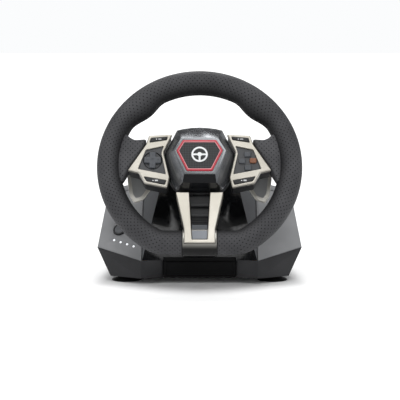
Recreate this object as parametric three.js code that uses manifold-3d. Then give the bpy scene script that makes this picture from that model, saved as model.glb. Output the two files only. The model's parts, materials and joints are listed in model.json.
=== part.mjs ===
// Desk-top racing wheel: a D-shaped rim on a tilted shaft over a base that stands on suction cups.
// Millimetres, +Z up, +X to the driver's right, the driver on the -Y side. The desk is z = 0.
// Wheel pieces are drawn in the wheel's own frame: x right, y up the wheel, z along the shaft
// towards the driver, with the middle of the rim at the origin.
import * as THREE from 'three';
import { mergeVertices } from 'three/addons/utils/BufferGeometryUtils.js';
import { ConvexGeometry } from 'three/addons/geometries/ConvexGeometry.js';
import Module from 'manifold-3d';

const wasm = await Module();
wasm.setup();

// ---- driving dimensions ----

const gap = 0.3; // clearance between two pieces that touch
const slideGap = 0.4; // clearance around a button or paddle that moves
const wall = 2.4; // casing wall

const wheelTilt = 27; // degrees from the horizontal to the shaft
const wheelHeight = 165; // middle of the rim above the desk

const rim = { radius: 124, tube: 16.3, flat: 111.5, corner: 35, rod: 5, bore: 5.9, sides: 14 };
const rimSteps = Math.round(rim.radius / 2.2); // stretches along the rim, short enough to look round
const thumbSwell = { depth: 8, angle: 43, halfWidth: 18, topDepth: 2 }; // degrees from the top of the rim
const clip = { half: 22.8, radius: 18 };

const spoke = { half: 7, low: -7, high: -3 }; // side spokes of the armature
const lowerSpoke = { half: 9, top: -45.2, bottom: -118, front: 16, back: -10, rise: 0.05 };
const slot = { halfTop: 14.1, halfBottom: 10.3, bottom: -113, floor: -1 };

const pod = { back: -10, front: 12.5, edge: 0.6, wall: 1.8 }; // edge: set back from the plate's edge
const plate = { back: 12.8, front: 18.5 };
const panel = { back: 12.8, front: 16.5 };
const board = { back: 1, front: 2.6, low: -10, high: 14, half: 84 };

const hub = { back: -2, shoulder: 10, crest: 28.5, chin: 26.5 };
const badge = { floor: 27.3, ring: 30.3, plate: 29.4, ringWidth: 3 };

const button = { flange: 0.6, flangeLow: 11, flangeHigh: 12.5, proud: 2.1, stem: 7 };
const dpad = { x: -63.6, y: 0.1, reach: 11.6, arm: 4.3, disc: 11.9, play: 0.9 }; // play: room to tilt

const paddle = { axisX: 49, axisZ: -26, front: -24, back: -28, boss: 4, bossHalf: 8.6, pin: 1.6, bore: 1.9 };
const lug = { inner: 9, outer: 14.5 };

const shaft = { radius: 8, end: -154, thread: 6, flange: 22 };
const bearing = { play: 0.15, outer: 19, width: 9 }; // play: between the shaft and the inner ring
const carrier = { front: -73, frontBack: -85, rear: -143, rearBack: -151, half: 44, top: 21, bottom: -90 };
const gears = { module: 1.2, pinionTeeth: 20, gearTeeth: 70, pressure: 20, backlash: 0.35 };
const spring = { radius: 13, wire: 1.3, turns: 5, start: -117, end: -137 };

const columnFoot = { y: 6.9, z: 32.2, clearance: 7.836 }; // clearance: from the front wall to the gear carrier
const collar = { front: -38, outerFront: 31, outerBack: 36, flare: -58, back: -104, inner: 27, bore: -70 };

const floorZ = 8; // underside of the base
const floorTop = 11;
const cup = { radius: 21, neck: 7, stud: 3 };
const frontBox = { half: 50, front: 4.8, back: 16, top: 36.4 };
const panelSheet = 3; // thickness of the two light panels
const panelSlope = 50; // degrees that the light panels rise from the desk
const panelCorner = { x: 80.5, y: 2, z: 32 }; // inner front corner of the right panel
const panelOuter = { x: 143.5, y: 31, z: 47 }; // outer front corner of the right panel
const modeButton = { x: 33, y: 54.6, radius: 8.7 };
const lamps = { first: [11.8, 25.1], step: [9.5, 4.5], count: 4, radius: 1.6 };
const motor = { radius: 12, length: 26, x: 84, y: 80, z: 28, weight: 10, weightWidth: 7 };
const socket = { depth: 9, y: 171.4, z: 24 };
const cupPlaces = { front: [102.5, 35], rear: [88, 150] };
const baseRear = 174.6; // rear of the base behind the middle of the rim

// the foremost point is the bottom of the bright spoke; the origin is midway between it and the rear
const bezelFront = lowerSpoke.front + (lowerSpoke.top - lowerSpoke.bottom) * lowerSpoke.rise;
const radians = (degrees) => (degrees * Math.PI) / 180;
const tiltAngle = radians(wheelTilt);
const frontReach = bezelFront * Math.cos(tiltAngle) - lowerSpoke.bottom * Math.sin(tiltAngle);
const wheelForward = (frontReach - baseRear) / 2;

// ---- looks ----

const looks = {
  leather: { color: 0x232427, roughness: 0.78, metalness: 0 },
  champagne: { color: 0xc9c6bd, roughness: 0.34, metalness: 0.75 },
  gunmetal: { color: 0x5b5d62, roughness: 0.32, metalness: 0.55 },
  gloss: { color: 0x17181a, roughness: 0.2, metalness: 0 },
  black: { color: 0x1c1d1f, roughness: 0.55, metalness: 0 },
  dark: { color: 0x37393d, roughness: 0.5, metalness: 0 },
  grey: { color: 0x6d6f74, roughness: 0.5, metalness: 0 },
  light: { color: 0x8b8c8f, roughness: 0.45, metalness: 0.1 },
  red: { color: 0xa8243a, roughness: 0.35, metalness: 0 },
  lamp: { color: 0xf4f6f8, roughness: 0.3, metalness: 0 },
  steel: { color: 0xa9abaf, roughness: 0.35, metalness: 1 },
  brass: { color: 0xb7924a, roughness: 0.35, metalness: 1 },
  board: { color: 0x1d5a38, roughness: 0.5, metalness: 0 },
  rubber: { color: 0x141415, roughness: 0.7, metalness: 0 },
  orange: { color: 0x9a6a4b, roughness: 0.5, metalness: 0 },
};

// ---- shapes ----

// points of a regular polygon, used for round sections
function circle(radius, sides, x = 0, y = 0) {
  return Array.from({ length: sides }, (_, i) => {
    const a = (2 * Math.PI * (i + 0.5)) / sides;
    return [x + radius * Math.cos(a), y + radius * Math.sin(a)];
  });
}

function outline(points) {
  return new THREE.Shape(points.map(([x, y]) => new THREE.Vector2(x, y)));
}

// a straight prism over an outline, with an optional chamfer on both ends
function prism(points, low, high, chamfer = 0) {
  const geometry = new THREE.ExtrudeGeometry(outline(points), {
    depth: high - low - 2 * chamfer,
    bevelEnabled: chamfer > 0,
    bevelThickness: chamfer,
    bevelSize: chamfer,
    bevelOffset: -chamfer,
    bevelSegments: 1,
  });
  return geometry.translate(0, 0, low + chamfer);
}

function block(x0, x1, y0, y1, z0, z1) {
  const geometry = new THREE.BoxGeometry(x1 - x0, y1 - y0, z1 - z0);
  return geometry.translate((x0 + x1) / 2, (y0 + y1) / 2, (z0 + z1) / 2);
}

function rod(radius, low, high, x = 0, y = 0, sides = 20) {
  return prism(circle(radius, sides, x, y), low, high);
}

function rodAlongX(radius, low, high, y = 0, z = 0, sides = 20) {
  return rod(radius, low, high, 0, 0, sides).rotateY(Math.PI / 2).translate(0, y, z);
}

function rodAlongY(radius, low, high, x = 0, z = 0, sides = 12) {
  return rod(radius, -high, -low, 0, 0, sides).rotateX(Math.PI / 2).translate(x, 0, z);
}

// a body of revolution about Z from [radius, height] pairs
function turned(profile, segments = 32) {
  const points = profile.map(([r, z]) => new THREE.Vector2(r, z));
  return new THREE.LatheGeometry(points, segments).rotateX(Math.PI / 2);
}

function ring(inner, outer, low, high, segments = 32) {
  return turned([[inner, low], [outer, low], [outer, high], [inner, high], [inner, low]], segments);
}

function hull(points) {
  return new ConvexGeometry(points.map(([x, y, z]) => new THREE.Vector3(x, y, z)));
}

// both halves of a set of points that is the same left and right
function bothSides(points) {
  return points.flatMap(([x, ...rest]) => [[x, ...rest], [-x, ...rest]]);
}

// half an outline, from the top middle down the right side, closed by its mirror image
function mirrored(points) {
  const left = points.filter(([x]) => x > 0).map(([x, y]) => [-x, y]).reverse();
  return [...points, ...left];
}

function flipped(points) {
  return points.map(([x, y]) => [-x, y]);
}

// every edge of an outline moved inwards by a distance (outwards when negative)
function inset(points, distance) {
  const area = points.reduce((sum, [x, y], i) => {
    const [nx, ny] = points[(i + 1) % points.length];
    return sum + x * ny - nx * y;
  }, 0);
  const side = Math.sign(area) * distance;
  return points.map((point, i) => {
    const before = points[(i + points.length - 1) % points.length];
    const after = points[(i + 1) % points.length];
    const a = new THREE.Vector2(point[0] - before[0], point[1] - before[1]).normalize();
    const b = new THREE.Vector2(after[0] - point[0], after[1] - point[1]).normalize();
    const normalA = new THREE.Vector2(-a.y, a.x);
    const normalB = new THREE.Vector2(-b.y, b.x);
    const middle = normalA.clone().add(normalB).normalize();
    const reach = side / middle.dot(normalA);
    return [point[0] + middle.x * reach, point[1] + middle.y * reach];
  });
}

// points drawn in towards the middle of their box, which leaves a wall of about the same thickness
function shrunk(points, thickness) {
  const box = new THREE.Box3().setFromPoints(points.map((p) => new THREE.Vector3(...p)));
  const middle = box.getCenter(new THREE.Vector3()).toArray();
  const half = box.getSize(new THREE.Vector3()).multiplyScalar(0.5).toArray();
  return points.map((p) => p.map((v, k) => middle[k] + ((v - middle[k]) * (half[k] - thickness)) / half[k]));
}

// a copy mirrored left to right, with its faces turned back to point out
function mirrorX(geometry) {
  const copy = geometry.index ? geometry.toNonIndexed() : geometry.clone();
  copy.scale(-1, 1, 1);
  const position = copy.attributes.position;
  for (let i = 0; i < position.count; i += 3) {
    const first = new THREE.Vector3().fromBufferAttribute(position, i);
    const second = new THREE.Vector3().fromBufferAttribute(position, i + 1);
    position.setXYZ(i, second.x, second.y, second.z);
    position.setXYZ(i + 1, first.x, first.y, first.z);
  }
  return copy;
}

function solidOf(geometry) {
  const bare = geometry.clone();
  bare.deleteAttribute('normal');
  bare.deleteAttribute('uv');
  const merged = mergeVertices(bare, 1e-4);
  return new wasm.Manifold(
    new wasm.Mesh({
      numProp: 3,
      vertProperties: new Float32Array(merged.attributes.position.array),
      triVerts: new Uint32Array(merged.index.array),
    }),
  );
}

function geometryOf(solid) {
  const mesh = solid.getMesh();
  const geometry = new THREE.BufferGeometry();
  geometry.setAttribute('position', new THREE.BufferAttribute(new Float32Array(mesh.vertProperties), 3));
  geometry.setIndex(new THREE.BufferAttribute(new Uint32Array(mesh.triVerts), 1));
  return geometry;
}

function joined(...geometries) {
  return geometryOf(geometries.map(solidOf).reduce((whole, piece) => whole.add(piece)));
}

function cut(geometry, ...tools) {
  return geometryOf(tools.map(solidOf).reduce((whole, tool) => whole.subtract(tool), solidOf(geometry)));
}

function common(a, b) {
  return geometryOf(solidOf(a).intersect(solidOf(b)));
}

function addPart(group, name, geometry, look, place = [0, 0, 0]) {
  const mesh = new THREE.Mesh(geometry, new THREE.MeshStandardMaterial(looks[look]));
  mesh.name = name;
  mesh.position.set(...place);
  group.add(mesh);
}

// ---- rim ----

// centre line of the rim: a circle with a flat bottom and two round corners, open at the clip
function rimCurve(halfOpening) {
  const cornerY = rim.corner - rim.flat;
  const cornerX = Math.sqrt((rim.radius - rim.corner) ** 2 - cornerY ** 2);
  const angle = Math.atan2(cornerY, cornerX);
  const path = new THREE.Path();
  path.moveTo(halfOpening, -rim.flat);
  path.lineTo(cornerX, -rim.flat);
  path.absarc(cornerX, cornerY, rim.corner, -Math.PI / 2, angle, false);
  path.absarc(0, 0, rim.radius, angle, Math.PI - angle, false);
  path.absarc(-cornerX, cornerY, rim.corner, Math.PI - angle, 1.5 * Math.PI, false);
  path.lineTo(-halfOpening, -rim.flat);
  const points = path.getSpacedPoints(3 * rimSteps).map((p) => new THREE.Vector3(p.x, p.y, 0));
  return new THREE.CatmullRomCurve3(points);
}

function rimTube(radius, sides, halfOpening) {
  const section = outline(circle(radius, sides));
  return new THREE.ExtrudeGeometry(section, { steps: rimSteps, extrudePath: rimCurve(halfOpening) });
}

// the inner side of the sleeve swells where the thumbs rest, and a little along the top
function swellGrip(geometry) {
  const position = geometry.attributes.position;
  for (let i = 0; i < position.count; i += 1) {
    const x = position.getX(i);
    const y = position.getY(i);
    const radius = Math.hypot(x, y);
    const fromTop = THREE.MathUtils.radToDeg(Math.atan2(Math.abs(x), y));
    const offset = Math.min(1, Math.abs(fromTop - thumbSwell.angle) / thumbSwell.halfWidth);
    const bump = (thumbSwell.depth * (1 + Math.cos(Math.PI * offset))) / 2;
    const top = fromTop < thumbSwell.angle ? thumbSwell.topDepth * Math.min(1, offset) : 0;
    const inward = Math.max(0, Math.min(1, (rim.radius - radius) / rim.tube));
    const scale = (radius - (bump + top) * inward) / radius;
    position.setX(i, x * scale);
    position.setY(i, y * scale);
  }
  return geometry;
}

// soft pad between the rim and the left pod: it starts inside the rim tube, and its inner edge
// follows the left plate
const leftPad = [
  [6 - rim.radius, 50], [18 - rim.radius, 49], [24.5 - rim.radius, 42], [-95, 36.5], [-88.5, 32.5],
  [-78, 34], [-69.6, 34], [-73, 22.9], [-97, -14.5], [-102, -20], [15 - rim.radius, -31],
  [12 - rim.radius, -44], [2 - rim.radius, -36], [-rim.radius, 10],
];

function spokeChannel() {
  const side = spoke.half + slideGap;
  const end = rim.radius + 2;
  return block(-end, end, -side, side, spoke.low - slideGap, spoke.high + slideGap);
}

function rimGrip() {
  const opening = clip.half + gap;
  const sleeve = swellGrip(rimTube(rim.tube, rim.sides, opening));
  const left = prism(leftPad, -11, 12, 2.5);
  const body = joined(sleeve, left, mirrorX(left));
  return cut(body, rimTube(rim.bore, 6, opening - 3), spokeChannel());
}

function wheelFrame() {
  const bridge = rodAlongX(rim.rod + 0.6, -14, 14, -rim.flat, 0, 12);
  const end = rim.radius - 2;
  const side = block(-end, end, -spoke.half, spoke.half, spoke.low, spoke.high);
  const lower = block(-lowerSpoke.half, lowerSpoke.half, -rim.flat + 2, 0, spoke.low, spoke.high);
  const body = joined(rimTube(rim.rod, 6, 8), bridge, side, lower, rod(34, spoke.low, spoke.high, 0, 0, 32));
  return cut(body, rod(shaft.thread + slideGap, -20, 20));
}

function lowerChannel() {
  const half = lowerSpoke.half + slideGap;
  return block(-half, half, -rim.flat - 4, 0, spoke.low - slideGap, spoke.high + slideGap);
}

function rimClip() {
  const pocketHalf = lowerBezelHalf(lowerSpoke.bottom) + gap;
  const body = rodAlongX(clip.radius, -clip.half, clip.half, -rim.flat, 0, 28);
  const bore = rodAlongX(rim.bore + 0.6, -40, 40, -rim.flat, 0, 12);
  const pocket = block(-pocketHalf, pocketHalf, lowerSpoke.bottom - gap, -80, 12, 40);
  return cut(body, bore, pocket, lowerChannel());
}

// ---- lower spoke ----

// half width of the bright lower spoke at a height y: it narrows down to the rim, then runs straight
function lowerBezelHalf(y) {
  const narrowing = Math.min(1, (lowerSpoke.top - y) / 53);
  return THREE.MathUtils.lerp(31.9, 20.6, narrowing);
}

function slotHalf(y) {
  return THREE.MathUtils.mapLinear(y, lowerSpoke.top, slot.bottom, slot.halfTop, slot.halfBottom);
}

function lowerSpokeBezel() {
  const points = [lowerSpoke.top, lowerSpoke.top - 53, lowerSpoke.bottom].map((y) => [lowerBezelHalf(y), y]);
  const body = prism(mirrored(points), lowerSpoke.back, lowerSpoke.front);
  const position = body.attributes.position;
  for (let i = 0; i < position.count; i += 1) {
    const rise = position.getZ(i) > 0 ? (lowerSpoke.top - position.getY(i)) * lowerSpoke.rise : 0;
    position.setZ(i, position.getZ(i) + rise);
  }
  const opening = mirrored([[slotHalf(-40), -40], [slot.halfBottom, slot.bottom]]);
  const overRim = block(-60, 60, -160, -rim.flat + clip.radius + gap, -60, 12 + gap);
  return cut(body, prism(opening, slot.floor, 40), overRim, lowerChannel());
}

// ribbed filler in the slot: a floor, two cross ribs and a block above the glossy tile
function lowerSpokeGrille() {
  const bottom = -rim.flat + clip.radius + 2 * gap;
  const floorPoints = [[slotHalf(-47) - slideGap, -47], [slotHalf(bottom) - slideGap, bottom]];
  const pieces = [prism(mirrored(floorPoints), slot.floor + gap, 4)];
  const ribs = [{ y: -61, half: 2.2, top: 9 }, { y: -76, half: 2.2, top: 9.5 }];
  for (const rib of ribs) {
    const half = slotHalf(rib.y - rib.half) - slideGap;
    pieces.push(block(-half, half, rib.y - rib.half, rib.y + rib.half, 3, rib.top));
  }
  const blockHalf = slotHalf(-99) - slideGap;
  pieces.push(block(-blockHalf, blockHalf, -99, -91.5, 12.6, 15));
  pieces.push(block(-blockHalf, blockHalf, bottom, -91.5, 3, 15));
  return joined(...pieces);
}

function spokeLens() {
  const points = [[slotHalf(-99.5) - slideGap, -99.5], [slotHalf(-112.4) - slideGap, -112.4]];
  return prism(mirrored(points), 12.9, 17.8, 0.8);
}

// ---- button pods ----

const leftPlate = [
  [-69, 36.2], [-37.2, 37.8], [-48.9, 11.1], [-40.4, -25.2], [-43.9, -39.7], [-74, -33], [-82, -18.1],
  [-97, -14.5], [-73, 22.9],
];
const leftWindow = [[-72.7, 15.2], [-48.8, 20.6], [-52, 10], [-45.4, -20.6], [-83.2, -12.8]];
const upperSlot = [[-68.1, 25.6], [-66.2, 32.3], [-43.4, 34.2], [-44.6, 29.4]];
const lowerSlot = [[-75.2, -23.6], [-44.8, -29.2], [-46.8, -35.8], [-71.6, -30.4]];

function podCasing() {
  const body = prism(inset(leftPlate, pod.edge), pod.back, pod.front);
  const inside = prism(inset(leftPlate, pod.edge + pod.wall), pod.back + wall, pod.front + 10);
  return cut(body, inside, spokeChannel(), boardChannel());
}

function plateSheet() {
  const body = prism(leftPlate, plate.back, plate.front, 0.8);
  const holes = [leftWindow, upperSlot, lowerSlot].map((points) => prism(points, 0, 40));
  return cut(body, ...holes);
}

function boardChannel() {
  const side = board.half + 1;
  return block(-side, side, board.low - slideGap, board.high + slideGap, board.back - gap, board.front + gap);
}

function wheelBoard() {
  const body = block(-board.half + 12, board.half - 12, board.low, board.high, board.back, board.front);
  return cut(body, rod(13, -10, 10));
}

const faceButtons = {
  face_button_top: [65, 8.6],
  face_button_left: [57.6, -1.2],
  face_button_right: [72.4, -0.4],
  face_button_bottom: [65.3, -10.9],
};
const faceCap = [[-4.6, -3], [-3.6, -3.6], [3.6, -3.6], [4.6, -3], [4.6, 3], [3.6, 3.6], [-3.6, 3.6], [-4.6, 3]];

function shifted(points, [x, y]) {
  return points.map(([px, py]) => [px + x, py + y]);
}

function leftButtonPanel() {
  const body = prism(inset(leftWindow, gap), panel.back, panel.front);
  return cut(body, rod(dpad.disc + dpad.play, 0, 40, dpad.x, dpad.y, 28));
}

function rightButtonPanel() {
  const body = prism(inset(flipped(leftWindow), gap), panel.back, panel.front);
  const holes = Object.values(faceButtons).map((place) =>
    prism(inset(shifted(faceCap, place), -slideGap), 0, 40));
  return cut(body, ...holes);
}

// a push button: a cap that passes through a hole, a flange that holds it in, and a stem
function pushButton(points, top, flangeHigh, flangeLow) {
  const xs = points.map(([x]) => x);
  const ys = points.map(([, y]) => y);
  const middleX = (Math.min(...xs) + Math.max(...xs)) / 2;
  const middleY = (Math.min(...ys) + Math.max(...ys)) / 2;
  const cap = prism(points, flangeLow, top, 0.5);
  const flange = prism(inset(points, -button.flange), flangeLow, flangeHigh);
  return joined(cap, flange, rod(1.8, button.stem, flangeLow + 1, middleX, middleY, 8));
}

function slotButton(points) {
  return pushButton(inset(points, slideGap), plate.front + 0.9, plate.back - gap, plate.back - gap - 1.5);
}

// three more copies of some points, each turned a quarter further
function turnedQuarters(points) {
  const turn = (list) => list.map(([x, y]) => [-y, x]);
  const second = turn(points);
  const third = turn(second);
  return [...second, ...third, ...turn(third)];
}

// the cross of the direction pad on a round disc, hollowed to sit on its pivot
function directionPad() {
  const a = dpad.arm;
  const r = dpad.reach;
  const arm = [[a, a], [a, r], [-a, r]];
  const cross = [...arm, ...turnedQuarters(arm)];
  const trimmed = common(prism(cross, 14, 19.4, 0.7), rod(dpad.disc, 10, 30, 0, 0, 28));
  const body = joined(rod(dpad.disc, 13, 15.6, 0, 0, 28), trimmed);
  return cut(body, rod(3.4, 10, 14.2));
}

function directionPivot() {
  return joined(rod(2.9, 6, 13.9, 0, 0, 12), rod(4.5, 5.2, 7, 0, 0, 12));
}

// ---- hub ----

const hubBase = mirrored([
  [0, 51.5], [11.5, 50.9], [22, 49.4], [31, 47], [47.3, 12.5], [46, 1.6], [38.8, -24], [31.4, -39.4], [22, -43.6],
]);
const hubCrest = mirrored([[0, 29.4], [13, 29], [25, 28], [35.5, 10], [22, -24], [22.5, -36]]);
const hubTrim = mirrored([[20.4, -24.6], [22.4, -35.6], [33.5, -40.4], [36, -50]]);
const badgeOutline = mirrored([[22.5, 24.7], [31.3, 9.7], [17.1, -19.7]]);

function hubHull(thickness) {
  const base = inset(hubBase, thickness);
  const crest = inset(hubCrest, thickness);
  const low = thickness > 0 ? hub.back - 5 : hub.back;
  return hull([
    ...base.map(([x, y]) => [x, y, low]),
    ...base.map(([x, y]) => [x, y, hub.shoulder - thickness / 2]),
    ...crest.map(([x, y]) => [x, y, (y < -30 ? hub.chin : hub.crest) - thickness]),
  ]);
}

function hubShell() {
  return cut(hubHull(0), hubHull(wall));
}

function hubCover() {
  const trim = prism(inset(hubTrim, -gap), hub.shoulder - 2, 60);
  const pocket = prism(inset(badgeOutline, -gap), badge.floor, 60);
  return cut(hubShell(), trim, pocket, boardChannel());
}

function hubLowerTrim() {
  return common(hubShell(), prism(hubTrim, hub.shoulder - 2 + gap, 60));
}

function badgeRing() {
  const inner = prism(inset(badgeOutline, badge.ringWidth), 0, 60);
  return cut(prism(badgeOutline, badge.floor + gap, badge.ring, 0.6), inner);
}

function badgePlate() {
  return prism(inset(badgeOutline, badge.ringWidth + gap), badge.floor + gap, badge.plate);
}

// rear cover of the hub: a turned dish with two pairs of lugs that carry the paddles
function hubBack() {
  const dish = turned([
    [16.5, -34], [38, -34], [45, -25], [45, -12], [42.6, -12], [42.6, -24], [36.8, -31.6], [16.5, -31.6],
    [16.5, -34],
  ], 28);
  const lugs = [1, -1].flatMap((side) => [1, -1].map((end) => {
    const low = Math.min(end * lug.inner, end * lug.outer);
    const piece = block(38.5, paddle.axisX + 4.5, low, low + lug.outer - lug.inner, -30, -22);
    return side > 0 ? piece : mirrorX(piece);
  }));
  const bores = [1, -1].map((side) => rodAlongY(paddle.bore, -20, 20, side * paddle.axisX, paddle.axisZ));
  const inside = turned([[0, -31.6], [36.8, -31.6], [42.6, -24], [42.6, 0], [0, 0]], 28);
  return cut(joined(dish, ...lugs), inside, ...bores);
}

// ---- paddles ----

const leftPaddle = [
  [-50, 7.6], [-56, 7.6], [-66, 34], [-77, 46.5], [-86, 44], [-95, 22], [-97, 2], [-96, -14], [-92.5, -36],
  [-88, -46], [-76.5, -41], [-66, -24], [-56, -7.6], [-50, -7.6],
];

function paddleLever() {
  const sheet = prism(leftPaddle, paddle.back, paddle.front, 0.8);
  const boss = rodAlongY(paddle.boss, -paddle.bossHalf, paddle.bossHalf, -paddle.axisX, paddle.axisZ, 16);
  return cut(joined(sheet, boss), rodAlongY(paddle.bore, -20, 20, -paddle.axisX, paddle.axisZ));
}

function paddlePin() {
  return rodAlongY(paddle.pin, -lug.outer, lug.outer);
}

// ---- shaft, bearings and gears ----

function steeringShaft() {
  return turned([
    [0, shaft.end], [shaft.radius, shaft.end], [shaft.radius, -10.9], [shaft.flange, -10.9],
    [shaft.flange, spoke.low - gap], [shaft.thread, spoke.low - gap], [shaft.thread, 4], [0, 4],
  ], 32);
}

function shaftNut() {
  return cut(prism(circle(10, 6), spoke.high + gap, spoke.high + 6.3), rod(shaft.thread + gap, -20, 20));
}

function ballBearing(low) {
  return ring(shaft.radius + bearing.play, bearing.outer, low, low + bearing.width, 32);
}

// outline of an involute spur gear; each flank is the involute of its base circle
function gearOutline(teeth, phase) {
  const pitch = (gears.module * teeth) / 2;
  const base = pitch * Math.cos(radians(gears.pressure));
  const tip = pitch + 0.9 * gears.module;
  const root = pitch - 1.3 * gears.module;
  const involute = (radius) => {
    const roll = Math.sqrt(Math.max(0, (radius / base) ** 2 - 1));
    return roll - Math.atan(roll);
  };
  const halfTooth = (Math.PI / 2 - gears.backlash / gears.module) / teeth + involute(pitch);
  const start = Math.max(base, root);
  const points = [];
  for (let i = 0; i < teeth; i += 1) {
    const middle = phase + (2 * Math.PI * i) / teeth;
    const at = (radius, side) => {
      const angle = middle + side * (halfTooth - involute(radius));
      return [radius * Math.cos(angle), radius * Math.sin(angle)];
    };
    const foot = halfTooth - involute(start);
    if (base > root) points.push([root * Math.cos(middle - foot), root * Math.sin(middle - foot)]);
    points.push(at(start, -1), at(pitch, -1), at(tip, -1), at(tip, 1), at(pitch, 1), at(start, 1));
    if (base > root) points.push([root * Math.cos(middle + foot), root * Math.sin(middle + foot)]);
  }
  return points;
}

const gearDistance = (gears.module * (gears.pinionTeeth + gears.gearTeeth)) / 2;

// the pinion has a tooth pointing down at the gear, and the gear has a space there
function shaftPinion() {
  const body = prism(gearOutline(gears.pinionTeeth, -Math.PI / 2), -112, -100);
  return cut(body, rod(shaft.radius + gap, -200, 0, 0, 0, 32));
}

function sensorGear() {
  const toothStep = (2 * Math.PI) / gears.gearTeeth;
  const wheel = prism(gearOutline(gears.gearTeeth, Math.PI / 2 + toothStep / 2), -110, -102);
  return joined(wheel, rod(3, -136, -108, 0, 0, 16), rod(8, -114, -109, 0, 0, 20));
}

function sensorPot() {
  const body = block(-11, 11, -11, 11, carrier.rear + gap, -121);
  return cut(body, rod(3.3, -139, -100, 0, 0, 16));
}

// two plates joined by four posts; the plates hold the bearings
function gearCarrier() {
  const { half, top, bottom } = carrier;
  const side = [[-half, bottom + 8], [-half + 8, bottom], [half - 8, bottom], [half, bottom + 8]];
  const points = [...side, [half, top - 14], [half - 16, top], [-half + 16, top], [-half, top - 14]];
  const posts = [[-38, -83], [38, -83], [-38, 6], [38, 6]].map(([x, y]) =>
    rod(4, carrier.rearBack + 2, carrier.front - 2, x, y, 10));
  const body = joined(
    prism(points, carrier.frontBack, carrier.front),
    prism(points, carrier.rearBack, carrier.rear),
    ...posts,
  );
  const seats = rod(bearing.outer + gap, -200, 0, 0, 0, 32);
  return cut(body, seats);
}

class Helix extends THREE.Curve {
  getPoint(t) {
    const angle = 2 * Math.PI * spring.turns * t;
    const z = THREE.MathUtils.lerp(spring.start, spring.end, t);
    return new THREE.Vector3(spring.radius * Math.cos(angle), spring.radius * Math.sin(angle), z);
  }
}

function centeringSpring() {
  const section = outline(circle(spring.wire, 5));
  return new THREE.ExtrudeGeometry(section, { steps: spring.turns * 14, extrudePath: new Helix() });
}

// ---- base casing, drawn with the middle of the rim at y = 0 ----

const slopeUp = new THREE.Vector3(0, Math.cos(radians(panelSlope)), Math.sin(radians(panelSlope)));

// frame of a light panel: x outwards along the front, y up the slope, z out of the face
function panelFrame(side) {
  const corner = new THREE.Vector3(side * panelCorner.x, panelCorner.y, panelCorner.z);
  const outer = new THREE.Vector3(side * panelOuter.x, panelOuter.y, panelOuter.z);
  const normal = outer.sub(corner).cross(slopeUp).multiplyScalar(side).normalize();
  const across = slopeUp.clone().cross(normal);
  return new THREE.Matrix4().makeBasis(across, slopeUp, normal).setPosition(corner);
}

const panelToBase = panelFrame(1);

// a point of the right panel's frame, in the base's frame
function onPanel(x, y, z) {
  return new THREE.Vector3(x, y, z).applyMatrix4(panelToBase).toArray();
}

const panelOutline = [[0.3, 0.3], [64.2, 30.1], [51, 128], [0.3, 130]];

// outer corners of the upper casing, just under the light panels
function upperCorners() {
  const under = -(panelSheet + gap);
  const front = inset(panelOutline, 1).map(([x, y]) => onPanel(x, y, under));
  const rear = [
    [75, 140, wheelHeight - 35], [118, 138, wheelHeight - 49], [126, 172, 47], [110, 167, 76],
    [70, baseRear, 47], [66, 166, wheelHeight - 73],
  ];
  return bothSides([...front, ...rear]);
}

function lowerCorners(lift) {
  const foot = [[81.5, -2.3], [124.5, 19.7], [127, 62], [112, 166], [70, 171.5]];
  const edge = [
    [80.5, 2, 31.7], [143.5, 31, 46.7], [142, 62, 46.7], [126, 171.6, 46.7], [70, baseRear, 46.7],
  ];
  return bothSides([...foot.map(([x, y]) => [x, y, floorZ]), ...edge.map(([x, y, z]) => [x, y, z + lift])]);
}

// outline, seen from above, of the hollow front between the two wings
const frontHollow = [
  [-82, -3], [-frontBox.half - 1, 8], [-frontBox.half - 1, 16.4], [frontBox.half + 1, 16.4],
  [frontBox.half + 1, 8], [82, -3], [82, -60], [-82, -60],
];

// lowest front edge of the gear carrier, which the front wall of the column leans back behind
const carrierEdge = {
  y: carrier.bottom * Math.sin(tiltAngle) - carrier.front * Math.cos(tiltAngle),
  z: wheelHeight + carrier.bottom * Math.cos(tiltAngle) + carrier.front * Math.sin(tiltAngle),
};
const columnLean = (carrierEdge.y - columnFoot.clearance - columnFoot.y) / (carrierEdge.z - columnFoot.z);
const columnTop = columnFoot.y + columnLean * (wheelHeight - 17 - columnFoot.z);
const columnCorners = bothSides([
  [50.5, columnFoot.y, columnFoot.z], [50.5, columnTop, wheelHeight - 17],
  [44, columnTop + 5.9, wheelHeight - 7], [79.5, 3.2, 32.2],
  [79.5, 85, wheelHeight - 34], [44, 112, wheelHeight - 17], [60, 128, wheelHeight - 31],
  [50.5, 110, 32.2], [79.5, 60, 32.2],
]);

// turned into the wheel's frame and back, so that a tool along the shaft can cut the base
const wheelToBase = new THREE.Matrix4()
  .makeRotationX(radians(90 - wheelTilt))
  .setPosition(0, 0, wheelHeight);

function alongShaft(geometry) {
  return geometry.clone().applyMatrix4(wheelToBase);
}

function leftPanelTool(geometry) {
  return geometry.clone().applyMatrix4(panelFrame(-1));
}

function lampPlaces() {
  return Array.from({ length: lamps.count }, (_, i) =>
    [-(lamps.first[0] + i * lamps.step[0]), lamps.first[1] + i * lamps.step[1]]);
}

// inner points of a casing, with the lowest ones carried on downwards so that it has no bottom;
// the front ones follow the slope of the front face
function openBelow(corners, frontSlope) {
  const drop = 30;
  return shrunk(corners, wall).map(([x, y, z]) => {
    if (z > 60) return [x, y, z];
    return [x, y < 50 ? y - drop * frontSlope : y, z - drop];
  });
}

function columnInside() {
  return hull(openBelow(columnCorners, columnLean));
}

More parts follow.
